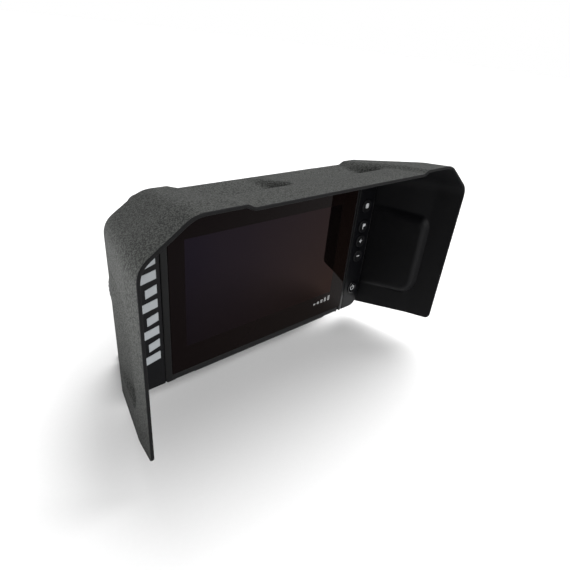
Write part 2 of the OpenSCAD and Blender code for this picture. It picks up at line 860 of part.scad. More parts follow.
module visor() {
    last = len(half_section(0)) - 1;
    // Across from the left foot over the top to the right foot, one list for each row.
    outer = [for (v = row_list) concat(
        [for (i = [last : -1 : 1]) skin_point(v, i, -1)],
        [for (i = [0 : last]) skin_point(v, i, 1)]
    )];
    across = len(outer[0]);
    deep = len(outer);
    function inward(j, i) =
        let (
            du = outer[j][min(i + 1, across - 1)] - outer[j][max(i - 1, 0)],
            dv = outer[min(j + 1, deep - 1)][i] - outer[max(j - 1, 0)][i],
            n = cross(du, dv)
        )
        n / norm(n);
    inner = [for (j = [0 : deep - 1]) [for (i = [0 : across - 1]) outer[j][i] + visor_t * inward(j, i)]];
    points = concat([for (row = outer) each row], [for (row = inner) each row]);
    shift = across * deep;
    function quad(a, b, c, d) = [[a, b, c], [a, c, d]];
    faces = concat(
        [for (j = [0 : deep - 2], i = [0 : across - 2]) each
            quad(j * across + i, j * across + i + 1, (j + 1) * across + i + 1, (j + 1) * across + i)],
        [for (j = [0 : deep - 2], i = [0 : across - 2]) each
            quad(shift + j * across + i, shift + (j + 1) * across + i,
                 shift + (j + 1) * across + i + 1, shift + j * across + i + 1)],
        [for (i = [0 : across - 2]) each quad(i, shift + i, shift + i + 1, i + 1)],
        [for (i = [0 : across - 2]) let (k = (deep - 1) * across + i) each
            quad(k, k + 1, shift + k + 1, shift + k)],
        [for (j = [0 : deep - 2]) let (k = j * across) each
            quad(k, k + across, shift + k + across, shift + k)],
        [for (j = [0 : deep - 2]) let (k = j * across + across - 1) each
            quad(k, shift + k, shift + k + across, k + across)]
    );
    color("#4a4d4b")
    at_screen() polyhedron(points = points, faces = faces, convexity = 8);
}

// Foam strips inside the rear edge, which grip the front frame.
module visor_foam_top() {
    color("#0d0d0d")
    at_screen() block(-60, 60, foam_y0, foam_y1, front_z1 + foam_gap, pocket_floor - visor_t - foam_slack);
}

// Half width inside the pad of a side wall at y.
function pad_inside(y) = wall_x0 + pad_flare * (visor_back - y) / visor_d - visor_t - fit;

module visor_foam_side(side) {
    x0 = front_w / 2 + foam_gap;
    color("#0d0d0d")
    at_screen() translate([0, 0, -38]) linear_extrude(76)
        polygon([
            [side * x0, foam_y0], [side * x0, foam_y1],
            [side * pad_inside(foam_y1), foam_y1], [side * pad_inside(foam_y0), foam_y0]
        ]);
}

// ---------- the nodes ----------

gimbal_bracket();
tilt_washer(-1);  // tilt_washer_left
tilt_washer(1);  // tilt_washer_right
front_bezel();
cover_glass();
glass_gasket();
lcd_panel();
backlight_plate();
left_panel();
panel_mark();
glass_mark();
key_panel();
sensor_lens();
key_mat();
key_board();
rear_housing();
housing_seal();
housing_screws();
vent_plug();
heat_sink();
heat_sink_screws();
heat_pad();
main_board();
shield_can();
sonar_board();
board_spacers();
board_screws();
gps_antenna();
sounder();
knob_insert(-1);  // knob_insert_left
knob_insert(1);  // knob_insert_right
power_socket();
sonar_socket();
network_socket();
socket_contacts();
socket_nuts();
card_socket();
card_door_pin();
card_door();
card_door_seal();
pages_key();
waypoint_key();
zoom_in_key();
zoom_out_key();
power_key();
knob_washer(-1);  // knob_washer_left
tilt_knob(-1);  // tilt_knob_left
knob_stud(-1);  // knob_stud_left
knob_washer(1);  // knob_washer_right
tilt_knob(1);  // tilt_knob_right
knob_stud(1);  // knob_stud_right
visor();
visor_foam_top();
visor_foam_side(-1);  // visor_foam_left
visor_foam_side(1);  // visor_foam_right
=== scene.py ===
"""Chartplotter display with a sun visor on a gimbal bracket: the finished look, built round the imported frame.

Sizes are millimetres in the dataclass fields. Shapes are worked out about the middle of the lit screen, with
Y = 0 on the face of the glass, and are carried to the row frame in metres when their mesh is made.
"""

import json
import logging
import math
from dataclasses import dataclass, field
from enum import Enum
from typing import Callable, Sequence

import bmesh
import bpy
import numpy as np
from mathutils import Matrix, Vector
from mathutils.geometry import delaunay_2d_cdt


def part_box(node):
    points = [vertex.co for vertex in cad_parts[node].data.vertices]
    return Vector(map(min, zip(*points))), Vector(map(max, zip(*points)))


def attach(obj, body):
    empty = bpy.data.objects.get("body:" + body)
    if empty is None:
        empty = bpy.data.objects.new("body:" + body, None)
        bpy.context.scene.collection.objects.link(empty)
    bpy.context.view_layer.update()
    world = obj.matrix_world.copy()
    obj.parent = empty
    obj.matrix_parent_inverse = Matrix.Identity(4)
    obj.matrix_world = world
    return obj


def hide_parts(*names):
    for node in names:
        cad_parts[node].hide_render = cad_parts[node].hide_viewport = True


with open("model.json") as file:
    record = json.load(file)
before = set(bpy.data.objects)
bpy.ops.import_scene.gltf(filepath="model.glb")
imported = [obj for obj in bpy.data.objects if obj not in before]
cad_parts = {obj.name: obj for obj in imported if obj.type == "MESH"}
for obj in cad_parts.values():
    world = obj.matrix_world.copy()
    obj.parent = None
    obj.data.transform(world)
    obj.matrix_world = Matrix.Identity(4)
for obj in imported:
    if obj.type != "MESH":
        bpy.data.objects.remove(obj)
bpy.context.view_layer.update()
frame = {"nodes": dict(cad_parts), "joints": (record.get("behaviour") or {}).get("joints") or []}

LOG = logging.getLogger("chartplotter")
MM = 0.001
MERGE = 2e-7
CAD_MERGE = 2e-6
FLAT_DEGREES = 1.0
EDGE_DEGREES = 32.0
CDT_INSIDE_WITH_HOLES = 4
CDT_CLOSE = 1e-7
FACE_LAND = 0.25

Array = np.ndarray


# ---------------------------------------------------------------- shader maths


class Socket:
    """A node's output that can be used in sums: + - * / with numbers and other sockets, on either side."""

    def __init__(self, net: "Net", out: bpy.types.NodeSocket) -> None:
        """Keeps the net that the socket belongs to and the socket itself."""
        self.net = net
        self.out = out

    def __add__(self, other: "Value") -> "Socket":
        """Sum."""
        return self.net.math("ADD", self, other)

    def __radd__(self, other: "Value") -> "Socket":
        """Sum with the number first."""
        return self.net.math("ADD", other, self)

    def __sub__(self, other: "Value") -> "Socket":
        """Difference."""
        return self.net.math("SUBTRACT", self, other)

    def __rsub__(self, other: "Value") -> "Socket":
        """Difference with the number first, such as 1 - mask."""
        return self.net.math("SUBTRACT", other, self)

    def __mul__(self, other: "Value") -> "Socket":
        """Product."""
        return self.net.math("MULTIPLY", self, other)

    def __rmul__(self, other: "Value") -> "Socket":
        """Product with the number first."""
        return self.net.math("MULTIPLY", other, self)

    def __truediv__(self, other: "Value") -> "Socket":
        """Quotient."""
        return self.net.math("DIVIDE", self, other)

    def clamp(self) -> "Socket":
        """The value held between 0 and 1."""
        return self.net.math("MINIMUM", self.net.math("MAXIMUM", self, 0.0), 1.0)

    def ease(self, low: float, high: float) -> "Socket":
        """A smooth step from 0 to 1 as the value goes from low to high."""
        made = self.net.node("ShaderNodeMapRange", {"interpolation_type": "SMOOTHSTEP"},
                             {"Value": self, "From Min": low, "From Max": high})
        return Socket(self.net, made.outputs["Result"])


Value = float | Socket


class Net:
    """A material's node tree, with the Principled shader that every finish ends in."""

    def __init__(self, name: str) -> None:
        """Makes the material.

        Args:
            name: the material's name.
        """
        self.material = bpy.data.materials.new(name)
        self.material.use_nodes = True
        self.tree = self.material.node_tree
        self.tree.nodes.clear()
        self.shader = self.node("ShaderNodeBsdfPrincipled")
        end = self.node("ShaderNodeOutputMaterial")
        self.tree.links.new(self.shader.outputs["BSDF"], end.inputs["Surface"])

    def node(self, kind: str, settings: dict | None = None, inputs: dict | None = None) -> bpy.types.Node:
        """Adds any node.

        Args:
            kind: the node's type.
            settings: its properties, set first; "stops" holds a ramp's (place, colour) pairs.
            inputs: values or sockets by input name or number.

        Returns:
            The node.
        """
        made = self.tree.nodes.new(kind)
        for key, value in (settings or {}).items():
            if key == "stops":
                self._set_stops(made, value)
            else:
                setattr(made, key, value)
        for key, value in (inputs or {}).items():
            self.feed(made.inputs[key], value)
        return made

    def feed(self, target: bpy.types.NodeSocket, value: object) -> None:
        """Links a socket to an input, or sets the input's own value."""
        if isinstance(value, Socket):
            self.tree.links.new(value.out, target)
        else:
            target.default_value = value

    @staticmethod
    def _set_stops(ramp: bpy.types.Node, stops: Sequence[tuple[float, Sequence[float]]]) -> None:
        """Gives a colour ramp its stops."""
        elements = ramp.color_ramp.elements
        while len(elements) < len(stops):
            elements.new(0.5)
        for element, (place, colour) in zip(elements, stops):
            element.position = place
            element.color = (*colour, 1.0)

    def math(self, operation: str, *values: Value) -> Socket:
        """One Math node."""
        made = self.node("ShaderNodeMath", {"operation": operation}, dict(enumerate(values)))
        return Socket(self, made.outputs[0])

    def place(self) -> Socket:
        """Object coordinates, in metres in the row frame."""
        return Socket(self, self.node("ShaderNodeTexCoord").outputs["Object"])

    def axes(self) -> tuple[Socket, Socket, Socket]:
        """X, Y and Z of the object coordinates, in millimetres."""
        split = self.node("ShaderNodeSeparateXYZ", inputs={0: self.place()})
        return tuple(Socket(self, out) * (1 / MM) for out in split.outputs)

    def noise(self, size: float, detail: float = 2.0, stretch: Sequence[float] = (1, 1, 1)) -> Socket:
        """Soft noise from 0 to 1.

        Args:
            size: the size of its blotches in millimetres.
            detail: how many finer layers it has.
            stretch: how much it is drawn out along X, Y and Z.

        Returns:
            The noise value.
        """
        scaled = [1 / (size * MM * s) for s in stretch]
        mapped = self.node("ShaderNodeMapping", inputs={"Vector": self.place(), "Scale": scaled})
        made = self.node("ShaderNodeTexNoise", inputs={
            "Vector": Socket(self, mapped.outputs[0]), "Scale": 1.0, "Detail": detail, "Roughness": 0.55})
        return Socket(self, made.outputs[0])

    def cells(self, size: float) -> Socket:
        """Distance to the nearest of many scattered points: a pebbled grain, its size in millimetres."""
        made = self.node("ShaderNodeTexVoronoi", {"feature": "SMOOTH_F1"}, {
            "Vector": self.place(), "Scale": 1 / (size * MM), "Smoothness": 0.6})
        return Socket(self, made.outputs["Distance"])

    def blend(self, factor: Value, first: object, second: object) -> Socket:
        """A colour between two, by a factor from 0 to 1."""
        made = self.node("ShaderNodeMix", {"data_type": "RGBA"}, {
            0: factor, 6: self._rgba(first), 7: self._rgba(second)})
        return Socket(self, made.outputs[2])

    @staticmethod
    def _rgba(colour: object) -> object:
        """A colour with its fourth number, or the socket as it is."""
        return colour if isinstance(colour, Socket) else (*colour, 1.0)

    def bump(self, height: Socket, depth: float, under: Socket | None = None) -> Socket:
        """A bumped normal: height from 0 to 1 stands for depth in millimetres."""
        inputs: dict = {"Height": height, "Distance": depth * MM, "Strength": 1.0}
        if under is not None:
            inputs["Normal"] = under
        return Socket(self, self.node("ShaderNodeBump", inputs=inputs).outputs[0])

    def finish(self, **values: object) -> bpy.types.Material:
        """Feeds the shader's sockets, named with underscores for blanks, and returns the material."""
        for key, value in values.items():
            self.feed(self.shader.inputs[key.replace("_", " ")], value)
        return self.material


# ---------------------------------------------------------------- finishes


Colour = tuple[float, float, float]


@dataclass(frozen=True)
class Moulded:
    """Injection-moulded plastic or rubber with a fine spark-eroded grain.

    Fields: its colour, its roughness, the size and depth of its grain in millimetres, and how much the colour
    varies over a few centimetres.
    """

    name: str
    colour: Colour
    roughness: float = 0.5
    grain: float = 0.5
    depth: float = 0.02
    vary: float = 0.12
    specular: float = 0.5

    def make(self) -> bpy.types.Material:
        """Returns the material: blotches and grain vary the colour and roughness, and the grain is a bump."""
        net = Net(self.name)
        blotch = net.noise(38, 3)
        grain = net.noise(self.grain, 2)
        light = 1 + self.vary * 2 * (blotch - 0.5) + 0.5 * self.vary * (grain - 0.5)
        tone = net.node("ShaderNodeVectorMath", {"operation": "SCALE"}, {0: self.colour, "Scale": light})
        rough = self.roughness + 0.1 * (blotch - 0.5) + 0.12 * (grain - 0.5)
        return net.finish(Base_Color=Socket(net, tone.outputs[0]), Roughness=rough.clamp(),
                          Normal=net.bump(grain, self.depth), Specular_IOR_Level=self.specular)


@dataclass(frozen=True)
class GrainedSheet:
    """The visor's outside: thermoformed sheet with a coarse haircell grain, with painted shade in its pits and
    painted light on its tops.
    """

    name: str = "visor_outside"
    # pit and top colours: painted shade in the grain's pits and painted light on its tops
    pit_shade: Colour = (0.030, 0.0308, 0.0302)
    top: Colour = (0.073, 0.0758, 0.0718)
    grain: float = 0.95
    depth: float = 0.13

    def make(self) -> bpy.types.Material:
        """Returns the material: cells and two sizes of noise make one height, which bumps it and sets its
        colour: painted shade in the pits, painted light on the tops.
        """
        net = Net(self.name)
        cell = net.cells(self.grain)
        fine = net.noise(0.5, 2)
        coarse = net.noise(1.3, 2)
        broad = net.noise(46, 3)
        height = (0.95 - 1.1 * cell + 1.0 * (fine - 0.5) + 0.8 * (coarse - 0.5)).clamp()
        # painted shade and light: the colour follows the grain's height, dark in the pits and pale on the tops;
        # the broad noise adds random tone
        level = (height.ease(0.2, 0.75) + 0.25 * (broad - 0.5)).clamp()
        rough = 0.68 - 0.1 * height + 0.08 * (broad - 0.5)
        return net.finish(Base_Color=net.blend(level, self.pit_shade, self.top), Roughness=rough,
                          Normal=net.bump(height, self.depth), Specular_IOR_Level=0.02)


@dataclass(frozen=True)
class SatinSheet:
    """The visor's inside: the smooth black face of the same sheet, with faint flow marks from forming."""

    name: str = "visor_inside"
    colour: Colour = (0.0029, 0.0029, 0.0035)

    def make(self) -> bpy.types.Material:
        """Returns the material: long flow marks and dust vary its roughness."""
        net = Net(self.name)
        flow = net.noise(16, 3, (1, 5, 1))
        dust = net.noise(0.8, 2)
        wave = net.noise(28, 1)
        rough = 0.48 + 0.12 * (flow - 0.5) + 0.1 * (dust - 0.5)
        tone = net.blend((flow - 0.2).clamp(), self.colour, tuple(1.5 * c for c in self.colour))
        soft = net.bump(wave, 0.35)
        return net.finish(Base_Color=tone, Roughness=rough, Normal=net.bump(dust, 0.012, soft),
                          Specular_IOR_Level=0.14)


@dataclass(frozen=True)
class CutEdge:
    """The visor's trimmed edge: dark, rough, with fine marks along the cut."""

    name: str = "visor_cut_edge"
    colour: Colour = (0.0025, 0.0025, 0.0028)

    def make(self) -> bpy.types.Material:
        """Returns the material."""
        net = Net(self.name)
        marks = net.noise(0.5, 2)
        tone = net.blend(marks.ease(0.35, 0.75), self.colour, tuple(2.6 * c for c in self.colour))
        return net.finish(Base_Color=tone, Roughness=0.7 + 0.2 * (marks - 0.5), Normal=net.bump(marks, 0.03),
                          Specular_IOR_Level=0.12)


@dataclass(frozen=True)
class CoverGlass:
    """Cover glass on a switched-off screen: a black printed border, a greyer lit area, a coated face."""

    centre: Sequence[float]
    lit_w: float
    lit_h: float
    name: str = "cover_glass_face"

    def make(self) -> bpy.types.Material:
        """Returns the material: the lit area is a rectangle about the middle, warmer to the right."""
        net = Net(self.name)
        x, _, z = net.axes()
        right, up = x - self.centre[0], z - self.centre[2]
        half_w, half_h, soft = self.lit_w / 2, self.lit_h / 2, 0.3
        inside_x = 1 - net.math("ABSOLUTE", right).ease(half_w - soft, half_w)
        inside_z = 1 - net.math("ABSOLUTE", up).ease(half_h - soft, half_h)
        lit = inside_x * inside_z
        cloud = net.noise(70, 2)
        warm = (0.5 + right / 190 - up / 260 + 0.3 * (cloud - 0.5)).clamp()
        border = net.blend(warm, (0.0030, 0.0017, 0.0019), (0.0044, 0.0026, 0.0021))
        panel = net.blend(warm, (0.0088, 0.0069, 0.0106), (0.0214, 0.0151, 0.0134))
        smear = net.noise(9, 4, (1, 1, 2.5))
        rough = 0.02 + 0.03 * smear.ease(0.5, 0.85)
        return net.finish(Base_Color=net.blend(lit, border, panel), Roughness=rough, Metallic=0.9 * lit,
                          Specular_IOR_Level=0.06, Specular_Tint=(0.5, 0.42, 0.42, 1.0))


@dataclass(frozen=True)
class Metal:
    """Bare or plated metal with fine machining marks."""

    name: str
    colour: Colour
    roughness: float = 0.3
    stretch: tuple[float, float, float] = (1, 1, 1)

    def make(self) -> bpy.types.Material:
        """Returns the material: marks vary its roughness and bump it."""
        net = Net(self.name)
        marks = net.noise(0.35, 3, self.stretch)
        stain = net.noise(12, 3)
        tone = net.blend(stain.ease(0.3, 0.8), self.colour, tuple(0.72 * c for c in self.colour))
        rough = self.roughness + 0.15 * (marks - 0.5) + 0.12 * (stain - 0.5)
        return net.finish(Base_Color=tone, Metallic=1.0, Roughness=rough.clamp(),
                          Normal=net.bump(marks, 0.012))


@dataclass(frozen=True)
class CircuitBoard:
    """Solder mask over copper tracks."""

    name: str
    mask: Colour

    def make(self) -> bpy.types.Material:
        """Returns the material: broad square cells stand for copper areas under the mask."""
        net = Net(self.name)
        made = net.node("ShaderNodeTexVoronoi", {"distance": "CHEBYCHEV"},
                        {"Vector": net.place(), "Scale": 180.0})
        track = Socket(net, made.outputs["Distance"]).ease(0.42, 0.5)
        tone = net.blend(track, self.mask, tuple(1.7 * c for c in self.mask))
        return net.finish(Base_Color=tone, Roughness=0.35 - 0.1 * track, Normal=net.bump(track, 0.03))


# ---------------------------------------------------------------- meshes


def to_row(points: Array) -> Array:
    """Carries points from the screen's own frame in millimetres to the row frame in metres."""
    return (np.asarray(points, float) + PLACES.screen) * MM


@dataclass(frozen=True)
class Places:
    """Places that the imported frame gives, in millimetres in the row frame."""

    screen: Array
    tilt: Array

    @staticmethod
    def read() -> "Places":
        """Reads the screen's middle from the boxes of the glass and the lit panel, and the tilt axis."""
        face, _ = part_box("cover_glass")
        low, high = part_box("lcd_panel")
        middle = np.array([0.0, face.y, (low.z + high.z) / 2]) / MM
        joint = next(j for j in frame["joints"] if j["name"] == "display_tilt")
        return Places(middle, np.array(joint["pos_m"]) / MM)

    def local(self, node: str) -> tuple[Array, Array]:
        """A CAD node's lowest and highest corners in the screen's own frame, in millimetres."""
        low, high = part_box(node)
        return np.array(low) / MM - self.screen, np.array(high) / MM - self.screen


PLACES = Places.read()


def grid_quads(rows: int, columns: int, wrap_rows: bool = False, wrap_columns: bool = False) -> Array:
    """Quads of a grid of points numbered along its columns first.

    Args:
        rows: number of rows.
        columns: number of points in a row.
        wrap_rows: whether the last row joins the first.
        wrap_columns: whether the last column joins the first.

    Returns:
        An array of four point numbers for each quad.
    """
    r = np.arange(rows if wrap_rows else rows - 1)
    c = np.arange(columns if wrap_columns else columns - 1)
    r, c = np.meshgrid(r, c, indexing="ij")
    r1, c1 = (r + 1) % rows, (c + 1) % columns
    quads = np.stack([r * columns + c, r * columns + c1, r1 * columns + c1, r1 * columns + c], axis=-1)
    return quads.reshape(-1, 4)


@dataclass
class Draft:
    """Points in row-frame metres and faces, gathered before they become one mesh."""

    points: list[Array] = field(default_factory=list)
    faces: list[list[int]] = field(default_factory=list)
    slots: list[int] = field(default_factory=list)
    count: int = 0

    def add(self, points: Array, faces: Array | Sequence[Sequence[int]], slot: int = 0) -> None:
        """Adds a patch whose faces number its own points from 0, in a material slot."""
        points = np.asarray(points, float).reshape(-1, 3)
        numbered = np.asarray(faces, int) + self.count
        self.faces.extend(numbered.tolist())
        self.slots.extend([slot] * len(numbered))
        self.points.append(points)
        self.count += len(points)

    def grid(self, points: Array, wrap_rows: bool = False, wrap_columns: bool = False, slot: int = 0) -> None:
        """Adds a grid of points of shape (rows, columns, 3)."""
        rows, columns = points.shape[:2]
        self.add(points, grid_quads(rows, columns, wrap_rows, wrap_columns), slot)

    def piece(self, name: str, materials: Sequence[bpy.types.Material], body: str, slot: str,
              replaces: Sequence[str] = (), sharp: float = 40.0) -> bpy.types.Object:
        """Makes the object, closes its seams and puts it on its body.

        Args:
            name: the piece's name.
            materials: one material for each slot number used.
            body: the CAD body that it rides on.
            slot: the record's material slot; not used.
            replaces: the CAD nodes that it stands for.
            sharp: the angle in degrees above which an edge stays sharp.

        Returns:
            The object.
        """
        mesh = bpy.data.meshes.new(name)
        mesh.from_pydata(np.concatenate(self.points).tolist(), [], self.faces)
        mesh.polygons.foreach_set("material_index", np.array(self.slots, np.int32))
        for material in materials:
            mesh.materials.append(material)
        solid = bmesh.new()
        solid.from_mesh(mesh)
        bmesh.ops.remove_doubles(solid, verts=solid.verts, dist=MERGE)
        bmesh.ops.dissolve_degenerate(solid, edges=solid.edges, dist=MERGE)
        bmesh.ops.recalc_face_normals(solid, faces=solid.faces)
        solid.to_mesh(mesh)
        solid.free()
        mesh.polygons.foreach_set("use_smooth", np.ones(len(mesh.polygons), bool))
        mesh.set_sharp_from_angle(angle=math.radians(sharp))
        made = add_object(name, mesh)
        settle(made, body, replaces)
        LOG.info("%s: %d faces on %s", name, len(mesh.polygons), body)
        return made


def add_object(name: str, data: bpy.types.ID) -> bpy.types.Object:
    """Makes an object at the origin from a mesh, light or camera and links it to the scene."""
    made = bpy.data.objects.new(name, data)
    bpy.context.scene.collection.objects.link(made)
    return made


def settle(piece: bpy.types.Object, body: str, replaces: Sequence[str]) -> None:
    """Puts a finished piece on its body and the CAD nodes that it stands for."""
    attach(piece, body)
    if replaces:
        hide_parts(*replaces)


def eased_copy(node: str, material: bpy.types.Material, body: str, width: float = 0.5,
               segments: int = 3) -> bpy.types.Object:
    """A copy of a prismatic CAD node with its edges rounded over.

    The copy's loose triangles are merged and its flat areas made whole again, so that a Bevel modifier can
    round each edge between faces more than EDGE_DEGREES apart to the given width.

    Args:
        node: the CAD node, which the copy replaces.
        material: its finish.
        body: the body that it rides on.
        width: the rounding in millimetres.
        segments: faces across the rounding.

    Returns:
        The object.
    """
    mesh = frame["nodes"][node].data.copy()
    mesh.materials.clear()
    mesh.materials.append(material)
    solid = bmesh.new()
    solid.from_mesh(mesh)
    bmesh.ops.remove_doubles(solid, verts=solid.verts, dist=CAD_MERGE)
    bmesh.ops.dissolve_limit(solid, angle_limit=math.radians(FLAT_DEGREES), verts=solid.verts,
                             edges=solid.edges)
    for face in solid.faces:
        face.smooth = True
        face.material_index = 0
    solid.to_mesh(mesh)
    solid.free()
    mesh.set_sharp_from_angle(angle=math.radians(EDGE_DEGREES))
    made = add_object(node + "_eased", mesh)
    bevel = made.modifiers.new("eased_edges", "BEVEL")
    bevel.width = width * MM
    bevel.segments = segments
    bevel.limit_method = "ANGLE"
    bevel.angle_limit = math.radians(EDGE_DEGREES)
    bevel.harden_normals = True
    settle(made, body, [node])
    LOG.info("%s: eased copy on %s", node, body)
    return made


def arc(centre: Sequence[float], radius: float, start: float, end: float, steps: int) -> Array:
    """Points on an arc in a plane, from one angle to another in degrees."""
    t = np.radians(np.linspace(start, end, steps + 1))
    return np.stack([centre[0] + radius * np.cos(t), centre[1] + radius * np.sin(t)], axis=-1)


def round_rect(x0: float, x1: float, z0: float, z1: float, radius: float | Sequence[float],
               steps: int = 10) -> Array:
    """A rectangle's outline with a quarter arc at each corner, anticlockwise from its lower right corner.

    Args:
        x0: left side.
        x1: right side.
        z0: bottom.
        z1: top.
        radius: one corner radius, or four: lower right, upper right, upper left, lower left.
        steps: faces round each corner.

    Returns:
        Points of shape (n, 2).
    """
    r = [radius] * 4 if isinstance(radius, (int, float)) else list(radius)
    return np.concatenate([
        arc((x1 - r[0], z0 + r[0]), r[0], -90, 0, steps),
        arc((x1 - r[1], z1 - r[1]), r[1], 0, 90, steps),
        arc((x0 + r[2], z1 - r[2]), r[2], 90, 180, steps),
        arc((x0 + r[3], z0 + r[3]), r[3], 180, 270, steps)])


def circle(x: float, z: float, radius: float, steps: int = 48) -> Array:
    """A circle's outline, anticlockwise."""
    return arc((x, z), radius, 0, 360 * (1 - 1 / steps), steps - 1)


def inset(outline: Array, distance: float) -> Array:
    """Moves an anticlockwise outline inwards along the bisector at each point, by the given distance."""
    before = outline - np.roll(outline, 1, axis=0)
    after = np.roll(outline, -1, axis=0) - outline
    before /= np.linalg.norm(before, axis=1, keepdims=True) + 1e-12
    after /= np.linalg.norm(after, axis=1, keepdims=True) + 1e-12
    tangent = before + after
    tangent /= np.linalg.norm(tangent, axis=1, keepdims=True) + 1e-12
    inward = np.stack([-tangent[:, 1], tangent[:, 0]], axis=-1)
    stretch = 1 / np.clip((before * tangent).sum(axis=1, keepdims=True), 0.5, 1.0)
    return outline + inward * distance * stretch


def plate(draft: Draft, outline: Array, holes: Sequence[Array], front: float, back: float, radius: float,
          lay: Callable[[Array], Array], hole_radius: float | None = None, steps: int = 4,
          slot: int = 0) -> None:
    """Adds a flat plate with rounded front edges, and holes with rounded mouths.

    Each wall is the outline carried back along a quarter circle: at angle a from the face, the outline is
    inset by radius * (1 - sin a) and lies radius * (1 - cos a) behind the face. A narrow land inside the
    first ring keeps the face flat in the shading. The faces between the rings are filled with triangles.

    Args:
        draft: where the faces go.
        outline: the outer outline, anticlockwise.
        holes: the holes' outlines, anticlockwise.
        front: the face's Y.
        back: the back's Y.
        radius: the outer edge's rounding.
        lay: turns points (n, 3) of X, Y, Z in the screen's frame into row-frame metres.
        hole_radius: the holes' rounding, or the outer edge's.
        steps: faces across a rounding.
        slot: the material slot.
    """
    fillet = radius if hole_radius is None else hole_radius
    loops = [(outline, radius, 1.0)] + [(hole, fillet, -1.0) for hole in holes]
    sign = 1.0 if back > front else -1.0
    angles = np.radians(np.linspace(0, 90, steps + 1))
    faces_in: list[Array] = []
    for loop, r, side in loops:
        depths = [(r + FACE_LAND, 0.0)] + [(r * (1 - math.sin(a)), r * (1 - math.cos(a))) for a in angles]
        rings = [np.insert(inset(loop, side * d), 1, front + sign * y, axis=1) for d, y in depths]
        rings.append(np.insert(loop, 1, back, axis=1))
        stack = np.array(rings)
        faces_in.append(stack[0][:, [0, 2]])
        draft.grid(lay(stack.reshape(-1, 3)).reshape(stack.shape), wrap_columns=True, slot=slot)
    for rings_at, y in ((faces_in, front), ([loop for loop, _, _ in loops], back)):
        flat = np.concatenate(rings_at)
        starts = np.cumsum([0] + [len(ring) for ring in rings_at])
        edges = [(int(s + i), int(s + (i + 1) % len(ring)))
                 for s, ring in zip(starts, rings_at) for i in range(len(ring))]
        verts, _, tris, *_ = delaunay_2d_cdt([Vector(p) for p in flat], edges, [], CDT_INSIDE_WITH_HOLES,
                                             CDT_CLOSE)
        points = np.insert(np.array([tuple(v) for v in verts]), 1, y, axis=1)
        draft.add(lay(points), [list(t) for t in tris], slot)


def lathe(draft: Draft, profile: Array, axis_point: Sequence[float], axis: str, steps: int = 64,
          ripple: Callable[[Array, Array], Array] | None = None, slot: int = 0) -> None:
    """Adds a turned shape: a profile of (radius, place along the axis) carried round the axis.

    Args:
        draft: where the faces go.
        profile: points (n, 2) in millimetres; it starts and ends on the axis or closes on itself.
        axis_point: a point on the axis, in row-frame millimetres.
        axis: "X" or "Y", the axis's direction; places along it are measured from the axis point.
        steps: faces round the axis.
        ripple: gives each point's radius from its profile row number and its angle, both as grids.
        slot: the material slot.
    """
    turn = np.linspace(0, 2 * np.pi, steps, endpoint=False)
    rows, angle = np.meshgrid(np.arange(len(profile)), turn, indexing="ij")
    radius = profile[rows, 0] if ripple is None else ripple(rows, angle)
    along = profile[rows, 1]
    a, b = radius * np.cos(angle), radius * np.sin(angle)
    stacked = {"X": (along, a, b), "Y": (a, along, b), "Z": (a, b, along)}[axis]
    points = np.stack(stacked, axis=-1) + np.asarray(axis_point, float)
    draft.grid(points * MM, wrap_columns=True, slot=slot)


def ease(a: Array) -> Array:
    """Smooth step from 0 to 1 as a goes from 0 to 1: 3 a squared minus 2 a cubed."""
    c = np.clip(a, 0, 1)
    return c * c * (3 - 2 * c)


def round_min(a: Array, b: Array, r: float) -> Array:
    """The smaller of two distances; where both are under r, the corner is a circle of radius r."""
    both = (a < r) & (b < r)
    return np.where(both, r - np.hypot(r - a, r - b), np.minimum(a, b))


# ---------------------------------------------------------------- visor


